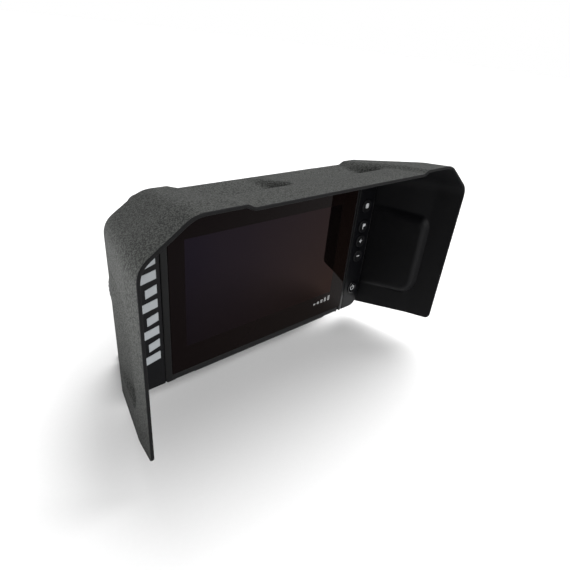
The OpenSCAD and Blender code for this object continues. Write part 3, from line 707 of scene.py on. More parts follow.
@dataclass
class Visor:
    """The thermoformed sun visor and the foam strips that grip the front frame.

    s runs from 0 at the rear edge to 1 at the front rim. Half widths and heights are given at the rear edge
    with their growth to the rim, and the other half is a mirror image.
    """

    thickness: float = 2.0
    depth: float = 83.0
    rear: float = 12.0
    wall: tuple[float, float] = (123.8, 20.0)
    foot: tuple[float, float] = (-71.2, 13.4)
    fold: tuple[float, float, float] = (0.72, 0.04, 0.4)
    top: tuple[float, float] = (75.5, 15.0)
    bend_low: tuple[float, float] = (59.2, 9.7)
    bend_high: tuple[float, float] = (98.9, 13.5)
    bend_low_reach: float = 8.0
    bend_high_reach: float = 6.5
    middle_drop: float = 2.4
    shoulder: tuple[float, float] = (75.5, 6.5)
    tip_radius: float = 4.5
    pocket_floor: float = 73.2
    pocket_x: tuple[float, float] = (15.5, 77.0)
    pocket_front: float = -38.0
    pad_flare: float = 13.8
    pad_front: float = -49.5
    pad_low: tuple[float, float] = (-41.2, 0.163)
    pad_high: float = 36.0
    edge_radius: float = 0.55
    top_points: int = 56
    wall_points: int = 64
    rows: int = 110

    def flare(self, s: Array) -> Array:
        """Share of the whole flare reached at s: even growth up to the fold, slower growth in front of it."""
        at, width, share = self.fold

        def past(v: Array) -> Array:
            """How far v lies past the fold, with a parabola of the fold's half width on each side."""
            t = v - at
            return np.where(t < -width, 0, np.where(t > width, t, (t + width) ** 2 / (4 * width)))

        return (s - share * past(s)) / (1 - share * past(np.float64(1)))

    def wall_x(self, s: Array) -> Array:
        """Half width at s."""
        return self.wall[0] + self.wall[1] * self.flare(s)

    def foot_z(self, s: Array) -> Array:
        """Height of the side wall's lower edge at s."""
        return self.foot[0] + self.foot[1] * s

    def top_z(self, s: Array) -> Array:
        """Height of the shoulders at s."""
        return self.top[0] + self.top[1] * self.flare(s)

    def section(self, s: Array) -> Array:
        """Half cross-sections, from the middle of the top to the wall's foot.

        The top is level, the corner is a straight slope whose two bends are parabolas through their corner
        points, and the wall is upright.

        Args:
            s: rows, shape (n,).

        Returns:
            Points (X, Z) of shape (n, m, 2).
        """
        grown = self.flare(s)
        low = np.stack([self.wall_x(s), self.bend_low[0] + self.bend_low[1] * grown], axis=-1)
        high = np.stack([self.bend_high[0] + self.bend_high[1] * grown, self.top_z(s)], axis=-1)
        slope = (low - high) / np.linalg.norm(low - high, axis=-1, keepdims=True)
        h0 = high - [self.bend_high_reach, 0]
        h1 = high + slope * self.bend_high_reach
        l0 = low - slope * self.bend_low_reach
        l1 = low - [0, self.bend_low_reach]
        centre = np.stack([np.zeros_like(s), self.top_z(s)], axis=-1)
        foot = np.stack([self.wall_x(s), self.foot_z(s)], axis=-1)
        above = foot + [0, self.tip_radius]
        to_foot = np.array([1, 0.86, 0.72, 0.58, 0.45, 0.33, 0.22, 0.13, 0.078, 0.045, 0.022, 0.007, 0])
        parts = [
            straight(centre, h0, np.linspace(0, 1, self.top_points, endpoint=False)),
            parabola(h0, high, h1, np.linspace(0, 1, 12, endpoint=False)),
            straight(h1, l0, np.linspace(0, 1, 10, endpoint=False)),
            parabola(l0, low, l1, np.linspace(0, 1, 14, endpoint=False)),
            straight(l1, above, np.linspace(0, 1, self.wall_points, endpoint=False)),
            straight(foot, above, to_foot),
        ]
        return np.concatenate(parts, axis=1)

    def top_drop(self, x: Array, y: Array, z: Array) -> Array:
        """How far the top lies below the shoulders: the lower middle, and two long hollows pressed into it.

        A hollow's floor is level while the top rises to the front, so it deepens, and it ends in a ramp.
        """
        middle = self.middle_drop * (1 - ease((x - self.shoulder[0]) / self.shoulder[1]))
        sides = round_min((x - self.pocket_x[0]) / 7, (self.pocket_x[1] - x) / 6, 1.0)
        edge = round_min(sides, (y - self.pocket_front) / 12, 1.0)
        return middle + np.maximum(0, z - middle - self.pocket_floor) * ease(edge)

    def pad_depth(self, s: Array, y: Array, z: Array) -> Array:
        """Depth of the pad pressed into a side wall.

        The pad's floor flares less than the wall, so its step grows towards the front. Its front step is
        short and steep, its lower edge slopes, and the corners between its edges are round.
        """
        front = (y - self.pad_front) / 3.5
        low = (z - self.pad_low[0] + self.pad_low[1] * (y + 34.5)) / 4
        high = (self.pad_high - z) / 6
        edge = ease(round_min(round_min(front, low, 3.5), high, 2.0))
        return (self.wall_x(s) - self.wall[0] - self.pad_flare * s) * edge

    def skin(self) -> tuple[Array, Array]:
        """The outer skin as a grid from the left foot over the top to the right foot.

        Returns:
            Points (rows, columns, 3) in the screen's frame, and each point's distance to the nearest edge.
        """
        ends = np.array([0, 0.05, 0.16, 0.32, 0.55, 1.1])
        middle = np.linspace(1.1, self.depth - 1.1, self.rows)[1:-1]
        reach = np.concatenate([ends, middle, self.depth - ends[::-1]])
        v = reach / self.depth
        height = self.section(v)[..., 1] - self.foot_z(v)[:, None]
        h = np.clip(self.tip_radius - height, 0, self.tip_radius)
        back = self.tip_radius - np.sqrt(self.tip_radius ** 2 - h ** 2)
        y = self.rear - v[:, None] * (self.depth - back)
        s = (self.rear - y) / self.depth
        columns = np.arange(s.shape[1])
        half = self.section(s.ravel()).reshape(*s.shape, s.shape[1], 2)[:, columns, columns]
        x, z = half[..., 0], half[..., 1]
        on_top = z > self.top_z(s) - 0.5
        drop = np.where(on_top, self.top_drop(x, y, z), 0)
        push = np.where(on_top, 0, self.pad_depth(s, y, z))
        right = np.stack([x - push, y, z - drop], axis=-1)
        left = right[:, :0:-1] * [-1, 1, 1]
        to_rim = np.minimum(reach, self.depth - reach)[:, None] + 0 * x
        edge = np.minimum(to_rim, height)
        return np.concatenate([left, right], axis=1), np.concatenate([edge[:, :0:-1], edge], axis=1)

    def shell(self, materials: Sequence[bpy.types.Material]) -> bpy.types.Object:
        """The sheet with its thickness.

        The mid surface lies half a thickness inside the skin along its normal, and the two faces stand off
        it by a half thickness that falls to nothing in a quarter ellipse at every cut edge.
        """
        skin, edge = self.skin()
        du, dv = np.gradient(skin, axis=1), np.gradient(skin, axis=0)
        inward = np.cross(du, dv)
        inward /= np.linalg.norm(inward, axis=-1, keepdims=True)
        near = np.clip(edge / self.edge_radius, 0, 1)
        half = 0.5 * self.thickness * np.sqrt(1 - (1 - near) ** 2)[..., None]
        mid = skin + inward * self.thickness / 2
        rows, columns = edge.shape
        quads = grid_quads(rows, columns)
        trimmed = (edge.ravel()[quads].min(axis=1) < self.edge_radius * 0.9)
        draft = Draft()
        for face, sign in ((0, -1), (1, 1)):
            points = to_row(mid + sign * inward * half).reshape(-1, 3)
            draft.add(points, quads[~trimmed], face)
            draft.add(points, quads[trimmed], 2)
        return draft.piece("visor_shell", materials, "visor", "visor_sheet", ["visor"], sharp=60)

    def strips(self, foam: bpy.types.Material) -> None:
        """The three foam strips inside the rear edge, with rounded edges."""
        for node in ("visor_foam_top", "visor_foam_left", "visor_foam_right"):
            strip = eased_copy(node, foam, "visor", width=0.4)


def straight(start: Array, end: Array, q: Array) -> Array:
    """Points on the lines from start to end, one row for each pair, at the shares q of the way."""
    return start[:, None] + (end - start)[:, None] * q[None, :, None]


def parabola(start: Array, corner: Array, end: Array, q: Array) -> Array:
    """Points on parabolas from start to end that bend at their corners, at the parameters q."""
    q = q[None, :, None]
    return (1 - q) ** 2 * start[:, None] + 2 * q * (1 - q) * corner[:, None] + q * q * end[:, None]


# ---------------------------------------------------------------- front


class KeyIcon(Enum):
    """The plain signs on the keys."""

    PAGES = "pages"
    WAYPOINT = "waypoint"
    ZOOM_IN = "zoom_in"
    ZOOM_OUT = "zoom_out"
    POWER = "power"


@dataclass
class Front:
    """The front frame, glass, side panels, keys and lens."""

    half_w: float = 121.0
    top: float = 69.0
    low: float = 71.0
    corner: float = 10.0
    cut_corner: float = 6.0
    slope_low: tuple[float, float] = (123.8, 59.2)
    slope_high: tuple[float, float] = (98.9, 75.5)
    slope_gap: float = 3.0
    notches: tuple[tuple[float, float, float], ...] = ((-86.0, -70.0, 0.6), (73.0, 90.0, 1.9))
    back: float = 11.0
    step: float = 1.2
    panel_back: float = 3.2
    left_edge: float = -94.5
    right_edge: float = 99.2
    lip: float = 0.7
    key_x: float = 110.1
    key_r: float = 6.0
    key_hole: float = 6.35
    key_out: float = 1.0
    lit: tuple[float, float] = (154.0, 86.0)

    def glass_outline(self, grow: float = 0.0) -> Array:
        """The glass's outline, grown by a margin."""
        low, high = PLACES.local("cover_glass")
        return round_rect(low[0] - grow, high[0] + grow, low[2] - grow, high[2] + grow, 1.2 + grow, 6)

    def corner_arcs(self, margin: float) -> list[Array]:
        """The right half's corner arcs from the lower one up, moved inwards by a margin.

        The upper corner is cut by a line parallel to the visor's slope, with a round corner at each end.
        """
        low, high = np.array(self.slope_low), np.array(self.slope_high)
        along = (low - high) / np.linalg.norm(low - high)
        out = np.array([-along[1], along[0]])
        reach = out @ high - self.slope_gap - self.cut_corner
        tilt = math.degrees(math.atan2(out[1], out[0]))
        x, z = self.half_w - self.cut_corner, self.top - self.cut_corner
        side = (x, (reach - out[0] * x) / out[1])
        top = ((reach - out[1] * z) / out[0], z)
        r, small = self.corner - margin, self.cut_corner - margin
        foot = (self.half_w - self.corner, self.corner - self.low)
        return [arc(foot, r, -90, 0, 10), arc(side, small, 0, tilt, 6), arc(top, small, tilt, 90, 4)]

    def outline(self) -> Array:
        """The front's whole outline, anticlockwise, with the shallow notches in its lower edge."""
        right = np.concatenate(self.corner_arcs(0.0))
        lower = [(x, depth - self.low) for x, depth in self._notch_points()]
        return np.concatenate([right, right[::-1] * [-1, 1], np.array(lower)])

    def _notch_points(self) -> list[tuple[float, float]]:
        """The notches' corners from left to right, each with its depth."""
        return [point for x0, x1, d in self.notches
                for point in ((x0 - 1, 0.0), (x0 + 1, d), (x1 - 1, d), (x1 + 1, 0.0))]

    def frame(self, plastic: bpy.types.Material) -> None:
        """The front frame: a back slab, and a proud middle whose long sides slope down to the side panels."""
        draft = Draft()
        low, high = PLACES.local("lcd_panel")
        window = [round_rect(low[0] - 0.3, high[0] + 0.3, low[2] - 0.3, high[2] + 0.3, 0.6, 4)]
        plate(draft, self.outline(), window, self.panel_back, self.back, 0.3, to_row, steps=3)
        glass_low, glass_high = PLACES.local("cover_glass")
        x = [self.left_edge, glass_low[0] - self.lip, glass_high[0] + self.lip, self.right_edge]
        draft.grid(to_row(self._ridge(x, rim=0.9)))
        draft.piece("front_frame", [plastic], "display", "bezel_plastic", ["front_bezel"], sharp=50)

    def _ridge(self, x: Sequence[float], rim: float) -> Array:
        """The proud middle as rings from the glass's edge out to the frame's foot.

        Each ring is a rectangle with round corners. It starts down in the glass's seat, rises over a rounded
        lip, slopes down to the panels at the sides and the frame's edge at the top and bottom, and drops
        behind the panels.

        Args:
            x: left foot, left lip, right lip, right foot.
            rim: rounding of the outer lower edge.

        Returns:
            Rings of shape (n, m, 3).
        """
        top, low = self.top, self.low
        seat = self.glass_outline(0.12)
        lip = [self.glass_outline(0.12 + 0.55 * t) for t in (0.0, 0.25, 0.6, 1.0)]
        rings = [
            (seat, 1.8), (lip[0], 0.35), (lip[1], 0.12), (lip[2], 0.02), (lip[3], 0.0),
            (round_rect(x[1], x[2], -low + 2.2, top - 2.2, 1.6, 6), 0.03),
            (round_rect(x[1] - 0.5, x[2] + 0.5, -low + 1.5, top - 1.5, 1.9, 6), 0.12),
            (round_rect(x[0] + 0.9, x[3] - 0.9, -low + 0.55, top - 0.55, 2.2, 6), self.step - 0.25),
            (round_rect(x[0] + 0.25, x[3] - 0.25, -low + 0.15, top - 0.15, 2.4, 6), self.step + 0.05),
            (round_rect(x[0], x[3], -low, top, 2.5, 6), self.step + rim),
            (round_rect(x[0], x[3], -low, top, 2.5, 6), self.panel_back + 1.0),
        ]
        return np.array([np.insert(self._notched(loop), 1, y, axis=1) for loop, y in rings])

    def _notched(self, loop: Array) -> Array:
        """A ring with the notches' corners added along its lower edge, raised the more the lower it lies."""
        z = loop[:, 1].min()
        share = min(1.0, max(0.0, 1 - (z + self.low) / 2.2))
        return np.concatenate([loop, [(x, z + depth * share) for x, depth in self._notch_points()]])

    def glass(self, material: bpy.types.Material) -> None:
        """The cover glass, with a fine ground edge."""
        low, high = PLACES.local("cover_glass")
        draft = Draft()
        plate(draft, self.glass_outline(), [], low[1] + 0.02, high[1], 0.25, to_row)
        draft.piece("cover_glass_pane", [material], "display", "cover_glass", ["cover_glass"], sharp=50)

    def panel_outline(self, x0: float, x1: float) -> Array:
        """A side panel, anticlockwise: the frame's own outline on its outer side, small corners inside."""
        inner, margin = 0.8, 0.4
        near = min(abs(x0), abs(x1)) + inner
        right = np.concatenate([arc((near, inner + margin - self.low), inner, 180, 270, 4),
                                *self.corner_arcs(margin),
                                arc((near, self.top - margin - inner), inner, 90, 180, 4)])
        return right if x1 > 0 else right[::-1] * [-1, 1]

    def side_panels(self, plastic: bpy.types.Material, lens: bpy.types.Material) -> None:
        """The marked left panel, the key panel with its key holes, and the lens in it."""
        left, right, eye = Draft(), Draft(), Draft()
        plate(left, self.panel_outline(-self.half_w + 0.4, self.left_edge - 0.1), [], self.step,
              self.panel_back, 0.5, to_row)
        left.piece("marked_panel", [plastic], "display", "panel_plastic", ["left_panel"])
        heights = [*self.key_heights().values(), self.lens_height()]
        holes = [circle(self.key_x, z, self.key_hole) for z in heights]
        plate(right, self.panel_outline(self.right_edge + 0.1, self.half_w - 0.4), holes, self.step,
              self.panel_back, 0.5, to_row, hole_radius=0.35)
        right.piece("key_panel_plate", [plastic], "display", "panel_plastic", ["key_panel"])
        r = self.key_hole - 0.06
        dome = [(r * q, self.step + 0.15 + 0.3 * q * q) for q in np.linspace(0, 0.94, 10)]
        profile = np.array(dome + [(r * 0.985, self.step + 0.5), (r, self.step + 0.8), (r, self.panel_back),
                                   (0, self.panel_back)])
        lathe(eye, profile, self._key_centre(self.lens_height()), "Y")
        eye.piece("sensor_lens_disc", [lens], "display", "lens_plastic", ["sensor_lens"])

    def lens_height(self) -> float:
        """Height of the lens above the screen's middle, from the frame."""
        low, high = PLACES.local("sensor_lens")
        return float(low[2] + high[2]) / 2

    def key_heights(self) -> dict[KeyIcon, float]:
        """Each key's height above the screen's middle, from the frame."""
        boxes = {icon: PLACES.local(icon.value + "_key") for icon in KeyIcon}
        return {icon: float(low[2] + high[2]) / 2 for icon, (low, high) in boxes.items()}

    def _key_centre(self, height: float) -> Array:
        """A point on a key's axis, in row-frame millimetres."""
        return PLACES.screen + [self.key_x, 0, height]

    def keys(self, rubber: bpy.types.Material, gloss: bpy.types.Material, white: bpy.types.Material) -> None:
        """The five keys: dished caps with a raised rim, and the printed signs in the dish."""
        face = self.step - self.key_out
        r = self.key_r
        dish = [(r * q, face + 0.5 * (1 - (q / 0.82) ** 2) + 0.02) for q in np.linspace(0, 0.8, 12)]
        rim = [(r * 0.86, face), (r * 0.92, face + 0.03), (r * 0.965, face + 0.16), (r * 0.99, face + 0.4),
               (r, face + 0.75), (r, 3.6), (r + 1.4, 3.65), (r + 1.4, 4.55), (0, 4.6)]
        for icon, height in self.key_heights().items():
            draft, sign = Draft(), Draft()
            lathe(draft, np.array(dish + rim), self._key_centre(height), "Y")
            body = icon.value + "_key"
            finish = gloss if icon is KeyIcon.POWER else rubber
            draft.piece(body + "_cap", [finish], body, "key_rubber", [body], sharp=55)
            self.sign(sign, icon, height, face + 0.5)
            sign.piece(icon.value + "_sign", [white], body, "mark_print")

    def sign(self, draft: Draft, icon: KeyIcon, height: float, depth: float) -> None:
        """Adds a key's printed sign as thin plates standing a hair above the dish.

        Args:
            draft: where the faces go.
            icon: which sign.
            height: the key's height above the screen's middle.
            depth: the deepest Y of the dish.
        """
        front, back = depth - 0.22, depth + 0.1

        def lay(points: Array) -> Array:
            """Moves a sign drawn about the origin to its key."""
            return to_row(points + [self.key_x, 0, height])

        def bar(x: float, z: float, w: float, h: float) -> None:
            """Adds a small rectangle centred at x, z."""
            outline = round_rect(x - w / 2, x + w / 2, z - h / 2, z + h / 2, 0.15, 2)
            plate(draft, outline, [], front, back, 0.05, lay, steps=1)

        if icon is KeyIcon.PAGES:
            plate(draft, round_rect(-1.4, 2.6, -2.2, 2.4, 1.3, 5), [], front, back, 0.05, lay, steps=1)
        elif icon is KeyIcon.WAYPOINT:
            outline = np.array([(-0.7, -2.6), (0.1, -2.6), (0.1, -0.6), (2.9, 0.1), (2.7, 2.4), (-0.7, 2.5)])
            plate(draft, outline, [], front, back, 0.05, lay, steps=1)
        elif icon is KeyIcon.ZOOM_IN:
            plus = np.array([(0.45, -1.9), (0.45, -0.45), (1.9, -0.45), (1.9, 0.45), (0.45, 0.45),
                             (0.45, 1.9)])
            plate(draft, np.concatenate([plus, -plus]), [], front, back, 0.05, lay, steps=1)
        elif icon is KeyIcon.ZOOM_OUT:
            bar(0, 0, 3.8, 0.9)
        else:
            outer, inner = arc((0, 0), 2.7, 125, 415, 28), arc((0, 0), 2.0, 415, 125, 28)
            plate(draft, np.concatenate([outer, inner]), [], front, back, 0.05, lay, steps=1)
            bar(0, 1.9, 0.7, 2.4)


# ---------------------------------------------------------------- back


@dataclass
class Back:
    """The rear housing, heat sink, sockets, screws, vent and card door."""

    lower_corner: float = 8.0
    rib_count: int = 5

    def housing(self, plastic: bpy.types.Material) -> None:
        """The housing as rounded rectangles lofted back along Y: a flange, the deep part and a smaller back.

        Each ring is (Y, half width, half height, corner radius), and close rings round the edges between.
        """
        low, high = PLACES.local("rear_housing")
        _, seal_high = PLACES.local("housing_seal")
        y0, y1, w = low[1], high[1], high[0]
        flange_h, h = high[2], seal_high[2] + 0.4
        r = self.lower_corner
        step = y1 - 12
        rings = [
            (y0 + 4, w - 3, h - 3, 5), (y0, w - 3, h - 3, 5), (y0, w - 2, flange_h, 6),
            (y0 + 2.3, w - 2, flange_h, 6),
            (y0 + 2.8, w - 2.2, flange_h - 0.2, 5.8), (y0 + 3, w - 2.7, flange_h - 0.7, 5.5),
            (y0 + 3, w - 2.4, h + 1.2, 6.5), (y0 + 3.3, w - 1.2, h + 0.4, 7.5), (y0 + 4.2, w - 0.1, h, r),
            (y0 + 5, w, h, r),
            (step - 6, w - 0.3, h - 0.2, r), (step - 1.8, w - 0.5, h - 0.4, r),
            (step - 0.5, w - 1.1, h - 0.9, r), (step, w - 2.4, h - 1.9, r - 0.5),
            (step, w - 9.5, h - 4.0, r), (step + 0.5, w - 11.2, h - 4.7, r), (step + 1.8, w - 12, h - 5, r),
            (y1 - 2.4, w - 12.5, h - 5.5, r), (y1 - 0.7, w - 13.2, h - 6.2, r - 0.6),
            (y1, w - 15, h - 8, r - 1.6), (y1, 8, 8, 2),
        ]
        stack = np.array([np.insert(round_rect(-a, a, -b, b, c, 10), 1, y, axis=1) for y, a, b, c in rings])
        draft = Draft()
        draft.grid(to_row(stack), wrap_columns=True)
        draft.add(to_row(stack[-1]), [list(range(stack.shape[1]))[::-1]])
        self._ribs(draft, h, y0 + 6, step - 5, w)
        self._knuckles(draft)
        draft.piece("housing_shell", [plastic], "display", "housing_plastic", ["rear_housing"], sharp=42)

    def _ribs(self, draft: Draft, h: float, y0: float, y1: float, w: float) -> None:
        """Low stiffening ribs along the housing's top, each a bar with a rounded crown."""
        section = arc((0, 0), 1.6, 0, 180, 8)
        along = np.linspace(0, 1, 9)[:, None]
        crown = np.clip(along * 4, 0, 1) * np.clip((1 - along) * 4, 0, 1)
        y = np.linspace(y0, y1, 9)[:, None]
        for x in np.linspace(-w + 22, w - 22, self.rib_count):
            z = h - 0.6 + section[None, :, 1] * crown * 0.8
            draft.grid(to_row(np.stack(np.broadcast_arrays(x + section[None, :, 0], y, z), axis=-1)))

    def _knuckles(self, draft: Draft) -> None:
        """The two hinge knuckles under the housing that hold the card door's pin."""
        low, high = PLACES.local("card_door_pin")
        middle = (low + high) / 2
        for side in (-1, 1):
            x = middle[0] + side * 11.5
            profile = np.array([(0, -1.5), (1.6, -1.5), (1.9, -1.2), (1.9, 1.2), (1.6, 1.5), (0, 1.5)])
            lathe(draft, profile, PLACES.screen + [x, middle[1], middle[2]], "X", 32)
            foot = round_rect(x - 1.4, x + 1.4, middle[1] - 0.2, middle[1] + 1.8, 0.3, 3)
            plate(draft, foot, [], middle[2], middle[2] + 3.2, 0.1,
                  lambda p: to_row(p[:, [0, 2, 1]]), steps=1)

    def sockets(self, plastic: bpy.types.Material) -> None:
        """Round sockets: a flange, a collar with grip flutes, and a bore with a stepped floor."""
        for node in ("power_socket", "sonar_socket", "network_socket"):
            low, high = PLACES.local(node)
            x, z = (low[0] + high[0]) / 2, (low[2] + high[2]) / 2
            end, face = high[1], high[1] - 10
            profile = np.array([
                (0, face - 2.9), (7.3, face - 2.9), (7.6, face - 2.6), (7.6, end - 0.5), (7.9, end - 0.1),
                (8.3, end), (9.1, end), (9.45, end - 0.3), (9.5, end - 0.8), (9.5, face + 4.2),
                (9.7, face + 3.0), (11.6, face + 2.4), (12.2, face + 2.2), (12.5, face + 1.8), (12.5, face),
                (9.5, face), (9.5, face - 12), (0, face - 12)])
            draft = Draft()

            def fluted(rows: Array, angle: Array) -> Array:
                """Shallow flutes round the collar's outside rows."""
                flute = 0.22 * (np.cos(24 * angle) > 0.2)
                return profile[rows, 0] - np.where((rows >= 8) & (rows <= 9), flute, 0)

            lathe(draft, profile, PLACES.screen + [x, 0, z], "Y", 96, fluted)
            draft.piece(node + "_shell", [plastic], "display", "socket_plastic", [node])

    def vent(self, plastic: bpy.types.Material) -> None:
        """The vent's cap, a shallow dome with a rounded edge."""
        low, high = PLACES.local("vent_plug")
        x, z, y = (low[0] + high[0]) / 2, (low[2] + high[2]) / 2, high[1]
        profile = np.array([(0, y), (3, y - 0.05), (4.6, y - 0.25), (5.3, y - 0.7), (5.5, y - 1.2),
                            (5.5, y - 1.6), (0, y - 1.6)])
        draft = Draft()
        lathe(draft, profile, PLACES.screen + [x, 0, z], "Y", 48)
        draft.piece("vent_cap", [plastic], "display", "membrane_plastic", ["vent_plug"])


# ---------------------------------------------------------------- tilt fixing


@dataclass
class TiltFixing:
    """The hand knobs with their washers on the tilt axis."""

    grips: int = 30
    grip_depth: float = 1.0
    face_hollow: float = 1.6

    def knob(self, side: int, plastic: bpy.types.Material) -> None:
        """A knob whose rim is scalloped by grip flutes, with a dished face and a raised centre.

        The radius at each point is the profile's, less a flute depth that is the same round function of the
        angle at every row of the rim: flat lands between round valleys.
        """
        name = "left" if side < 0 else "right"
        low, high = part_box("tilt_knob_" + name)
        inner, outer = (high.x, low.x) if side < 0 else (low.x, high.x)
        x0, x1 = inner / MM * side, outer / MM * side
        r = (high.z - low.z) / 2 / MM
        hollow = x1 - self.face_hollow
        rows = np.array([
            (0, x0), (9.8, x0), (10.4, x0 + 0.4), (10.5, x0 + 1.3), (r - 2.2, x0 + 1.5), (r - 0.9, x0 + 1.7),
            (r - 0.25, x0 + 2.3), (r, x0 + 3.1), (r, x1 - 1.6), (r - 0.25, x1 - 0.7), (r - 0.9, x1 - 0.15),
            (r - 1.8, x1), (r - 3.4, x1), (r - 3.9, x1 - 0.2), (r - 4.3, x1 - 0.9), (r - 5, hollow),
            (8, hollow), (6.6, hollow + 0.2), (5.9, x1 - 0.7), (5, x1 - 0.45), (0, x1 - 0.35)])

        def scalloped(row: Array, angle: Array) -> Array:
            """The profile's radius less the flutes, on the rim's rows only."""
            wave = np.clip(np.cos(self.grips * angle) - 0.1, 0, 1) ** 0.8
            rim = np.select([row == 4, row == 11, (row >= 5) & (row <= 10)], [0.5, 0.6, 1.0], 0.0)
            return rows[row, 0] - self.grip_depth * wave * rim

        draft = Draft()
        lathe(draft, rows * [1, side], [0, *PLACES.tilt[1:]], "X", self.grips * 8, scalloped)
        draft.piece("knob_grip_" + name, [plastic], "knob_" + name, "knob_plastic", ["tilt_knob_" + name],
                    sharp=50)

    def washer(self, side: int, rubber: bpy.types.Material) -> None:
        """A tilt washer with a knurled rim and eased edges."""
        name = "tilt_washer_" + ("left" if side < 0 else "right")
        low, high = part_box(name)
        x0, x1 = low.x / MM, high.x / MM
        r = (high.z - low.z) / 2 / MM
        bore = 4.05
        profile = np.array([(bore, x0 + 0.4), (bore + 0.3, x0), (r - 0.5, x0), (r, x0 + 0.4), (r, x1 - 0.4),
                            (r - 0.5, x1), (bore + 0.3, x1), (bore, x1 - 0.4), (bore, x0 + 0.4)])

        def toothed(row: Array, angle: Array) -> Array:
            """A knurled rim."""
            return profile[row, 0] - np.where((row >= 2) & (row <= 5), 0.25 * (np.cos(36 * angle) > 0), 0)

        draft = Draft()
        lathe(draft, profile, [0, *PLACES.tilt[1:]], "X", 144, toothed)
        draft.piece(name + "_ring", [rubber], "display", "washer_rubber", [name])


# ---------------------------------------------------------------- finishes of the CAD nodes


def dress(nodes: Sequence[str], material: bpy.types.Material) -> None:
    """Gives CAD nodes that keep their own meshes a finish."""
    for name in nodes:
        for slot in frame["nodes"][name].material_slots:
            slot.material = material
        LOG.info("%s: dressed in %s", name, material.name)


# ---------------------------------------------------------------- studio


@dataclass(frozen=True)
class Softbox:
    """A large soft light that looks at a point."""

    name: str
    place: tuple[float, float, float]
    target: tuple[float, float, float]
    size: float
    watts: float

    def make(self) -> None:
        """Adds the light."""
        light = bpy.data.lights.new(self.name, "AREA")
        light.shape = "SQUARE"
        light.size = self.size
        light.energy = self.watts
        turned = (Vector(self.target) - Vector(self.place)).to_track_quat("-Z", "Y").to_matrix().to_4x4()
        add_object(self.name, light).matrix_world = Matrix.Translation(self.place) @ turned


@dataclass(frozen=True)
class SoftSun:
    """An even light from one side of the sky, as from a very large far panel.

    Fields: its name, the direction it comes from, how wide it is in degrees, and its strength.
    """

    name: str
    source: tuple[float, float, float]
    width: float
    strength: float

    def make(self) -> None:
        """Adds the light."""
        light = bpy.data.lights.new(self.name, "SUN")
        light.angle = math.radians(self.width)
        light.energy = self.strength
        turned = Vector(self.source).to_track_quat("Z", "Y").to_matrix().to_4x4()
        add_object(self.name, light).matrix_world = turned


@dataclass(frozen=True)
class Studio:
    """The camera, a pale floor, an even sky and soft lights."""

    camera_place: tuple[float, float, float] = (-0.2265, -0.3018, 0.2600)
    azimuth: float = 46.41
    elevation: float = -31.46
    roll: float = 7.07
    lens: float = 30.105
    shift: tuple[float, float] = (-0.0278, 0.0466)
    floor_radius: float = 6.0
    floor_turns: int = 96
    sky: float = 0.28
    backdrop: float = 1.0
    lights: tuple[Softbox | SoftSun, ...] = (
        SoftSun("overhead", (0.65, 0.3, 1.0), 60.0, 3.9), SoftSun("fill", (0.2, -0.9, 0.6), 60.0, 2.6),
        Softbox("flank", (-0.30, -0.03, 0.08), (-0.18, -0.03, 0.46), 0.1, 0.95))

    def camera(self) -> None:
        """Adds the camera: it looks along its azimuth from +Y towards +X and its elevation, then rolls."""
        az, el = math.radians(self.azimuth), math.radians(self.elevation)
        ahead = Vector((math.sin(az) * math.cos(el), math.cos(az) * math.cos(el), math.sin(el)))
        level = ahead.cross(Vector((0, 0, 1))).normalized()
        up = level.cross(ahead)
        turn = math.radians(self.roll)
        right = level * math.cos(turn) + up * math.sin(turn)
        top = up * math.cos(turn) - level * math.sin(turn)
        axes = Matrix((right, top, -ahead)).transposed().to_4x4()
        data = bpy.data.cameras.new("camera")
        data.lens = self.lens
        data.sensor_width = 36.0
        data.shift_x, data.shift_y = self.shift
        data.clip_start = 0.01
        made = add_object("camera", data)
        made.matrix_world = Matrix.Translation(self.camera_place) @ axes
        bpy.context.scene.camera = made

    def floor(self) -> None:
        """Adds the floor, a plain pale disc of rings whose radii grow by one factor."""
        radius = np.geomspace(0.05, self.floor_radius, 24)[:, None]
        turn = np.linspace(0, 2 * np.pi, self.floor_turns, endpoint=False)
        grid = np.stack(np.broadcast_arrays(radius * np.cos(turn), radius * np.sin(turn), 0.0), axis=-1)
        mesh = bpy.data.meshes.new("floor")
        faces = grid_quads(*grid.shape[:2], wrap_columns=True).tolist() + [list(range(self.floor_turns))]
        mesh.from_pydata(grid.reshape(-1, 3).tolist(), [], faces)
        net = Net("floor_paper")
        fibre = net.noise(3, 2)
        mesh.materials.append(net.finish(Base_Color=net.blend(fibre, (0.8, 0.8, 0.8), (0.82, 0.82, 0.82)),
                                         Roughness=0.9, Specular_IOR_Level=0.1))
        made = add_object("floor", mesh)

    def light(self) -> None:
        """Adds the lights and an even sky, which is seen as a white backdrop but lights softly."""
        world = bpy.data.worlds.new("sky")
        world.use_nodes = True
        nodes, links = world.node_tree.nodes, world.node_tree.links
        nodes["Background"].inputs["Color"].default_value = (1, 1, 1, 1)
        path, mix = nodes.new("ShaderNodeLightPath"), nodes.new("ShaderNodeMath")
        mix.operation = "MULTIPLY_ADD"
        mix.inputs[1].default_value = self.backdrop - self.sky
        mix.inputs[2].default_value = self.sky
        links.new(path.outputs["Is Camera Ray"], mix.inputs[0])
        links.new(mix.outputs[0], nodes["Background"].inputs["Strength"])
        bpy.context.scene.world = world
        for light in self.lights:
            light.make()
        bpy.context.scene.view_settings.view_transform = "Standard"


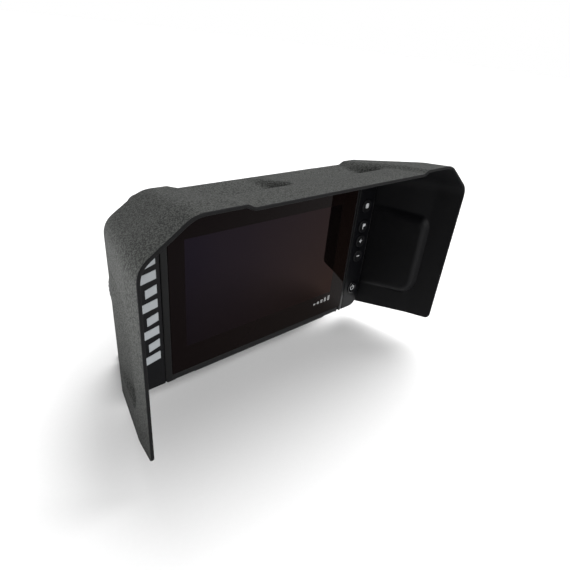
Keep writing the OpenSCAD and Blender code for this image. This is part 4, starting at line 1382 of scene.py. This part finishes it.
def main() -> None:
    logging.basicConfig(level=logging.INFO, format="%(name)s %(message)s")
    studio = Studio()
    studio.camera()
    studio.floor()
    studio.light()

    visor = Visor()
    visor.shell([GrainedSheet().make(), SatinSheet().make(), CutEdge().make()])
    visor.strips(Moulded("cellular_foam", (0.012, 0.012, 0.012), 0.85, 0.9, 0.12, 0.3).make())

    frame_plastic = Moulded("bezel_plastic", (0.0060, 0.0061, 0.0064), 0.38, 0.4, 0.008, 0.12, 0.14).make()
    panel_plastic = Moulded("panel_plastic", (0.0022, 0.0023, 0.0030), 0.33, 0.35, 0.006, 0.12, 0.12).make()
    key_rubber = Moulded("key_rubber", (0.0035, 0.0036, 0.0042), 0.42, 0.5, 0.006, 0.12, 0.16).make()
    key_gloss = Moulded("key_gloss", (0.004, 0.004, 0.005), 0.16, 0.5, 0.002, 0.12, 0.35).make()
    lens = Moulded("smoked_lens", (0.016, 0.016, 0.017), 0.3, 1.5, 0.002, 0.12, 0.2).make()
    print_white = Moulded("grey_white_print", (0.31, 0.33, 0.345), 0.5, 0.3, 0.01, 0.06).make()
    sign_white = Moulded("sign_print", (0.46, 0.47, 0.48), 0.45, 0.3, 0.005, 0.05).make()
    housing_plastic = Moulded("housing_plastic", (0.020, 0.0212, 0.023), 0.55, 0.7, 0.06, 0.18).make()
    bracket_plastic = Moulded("bracket_plastic", (0.024, 0.025, 0.027), 0.5, 0.8, 0.07, 0.18).make()
    knob_plastic = Moulded("knob_plastic", (0.014, 0.0145, 0.0155), 0.46, 0.6, 0.04, 0.15).make()
    seal_rubber = Moulded("seal_rubber", (0.008, 0.008, 0.008), 0.7, 0.6, 0.02).make()
    steel = Metal("stainless_steel", (0.58, 0.58, 0.57), 0.28).make()
    brass = Metal("brass", (0.72, 0.52, 0.22), 0.3).make()

    front = Front()
    front.frame(frame_plastic)
    front.glass(CoverGlass(PLACES.screen, *front.lit).make())
    front.side_panels(panel_plastic, lens)
    front.keys(key_rubber, key_gloss, sign_white)
    dress(["panel_mark"], print_white)
    dress(["glass_mark"], Moulded("glass_print", (0.2, 0.2, 0.2), 0.4, 0.3, 0.003, 0.05).make())

    back = Back()
    back.housing(housing_plastic)
    back.sockets(knob_plastic)
    back.vent(seal_rubber)
    eased_copy("heat_sink", Moulded("powder_coat", (0.03, 0.032, 0.034), 0.55, 0.5, 0.05, 0.15).make(),
               "display", 0.4)
    eased_copy("card_door", housing_plastic, "card_door", 0.35)
    eased_copy("gimbal_bracket", bracket_plastic, "bracket", 0.7)

    fixing = TiltFixing()
    for side in (-1, 1):
        fixing.knob(side, knob_plastic)
        fixing.washer(side, seal_rubber)

    dress(["glass_gasket", "housing_seal", "card_door_seal", "key_mat", "heat_pad"], seal_rubber)
    dress(["lcd_panel"], Moulded("screen_film", (0.012, 0.012, 0.014), 0.25, 3, 0.002).make())
    dress(["housing_screws", "heat_sink_screws", "board_screws", "card_door_pin", "knob_washer_left",
           "knob_washer_right", "knob_stud_left", "knob_stud_right", "backlight_plate", "shield_can",
           "socket_nuts", "card_socket"], steel)
    dress(["knob_insert_left", "knob_insert_right", "board_spacers", "socket_contacts"], brass)
    dress(["main_board", "key_board", "sonar_board"],
          CircuitBoard("green_board", (0.012, 0.075, 0.03)).make())
    dress(["gps_antenna"], Moulded("antenna_ceramic", (0.5, 0.44, 0.32), 0.4, 1.0, 0.01).make())
    dress(["sounder"], Moulded("sounder_case", (0.015, 0.015, 0.015), 0.4, 0.6, 0.01).make())


if __name__ == "__main__":
    main()
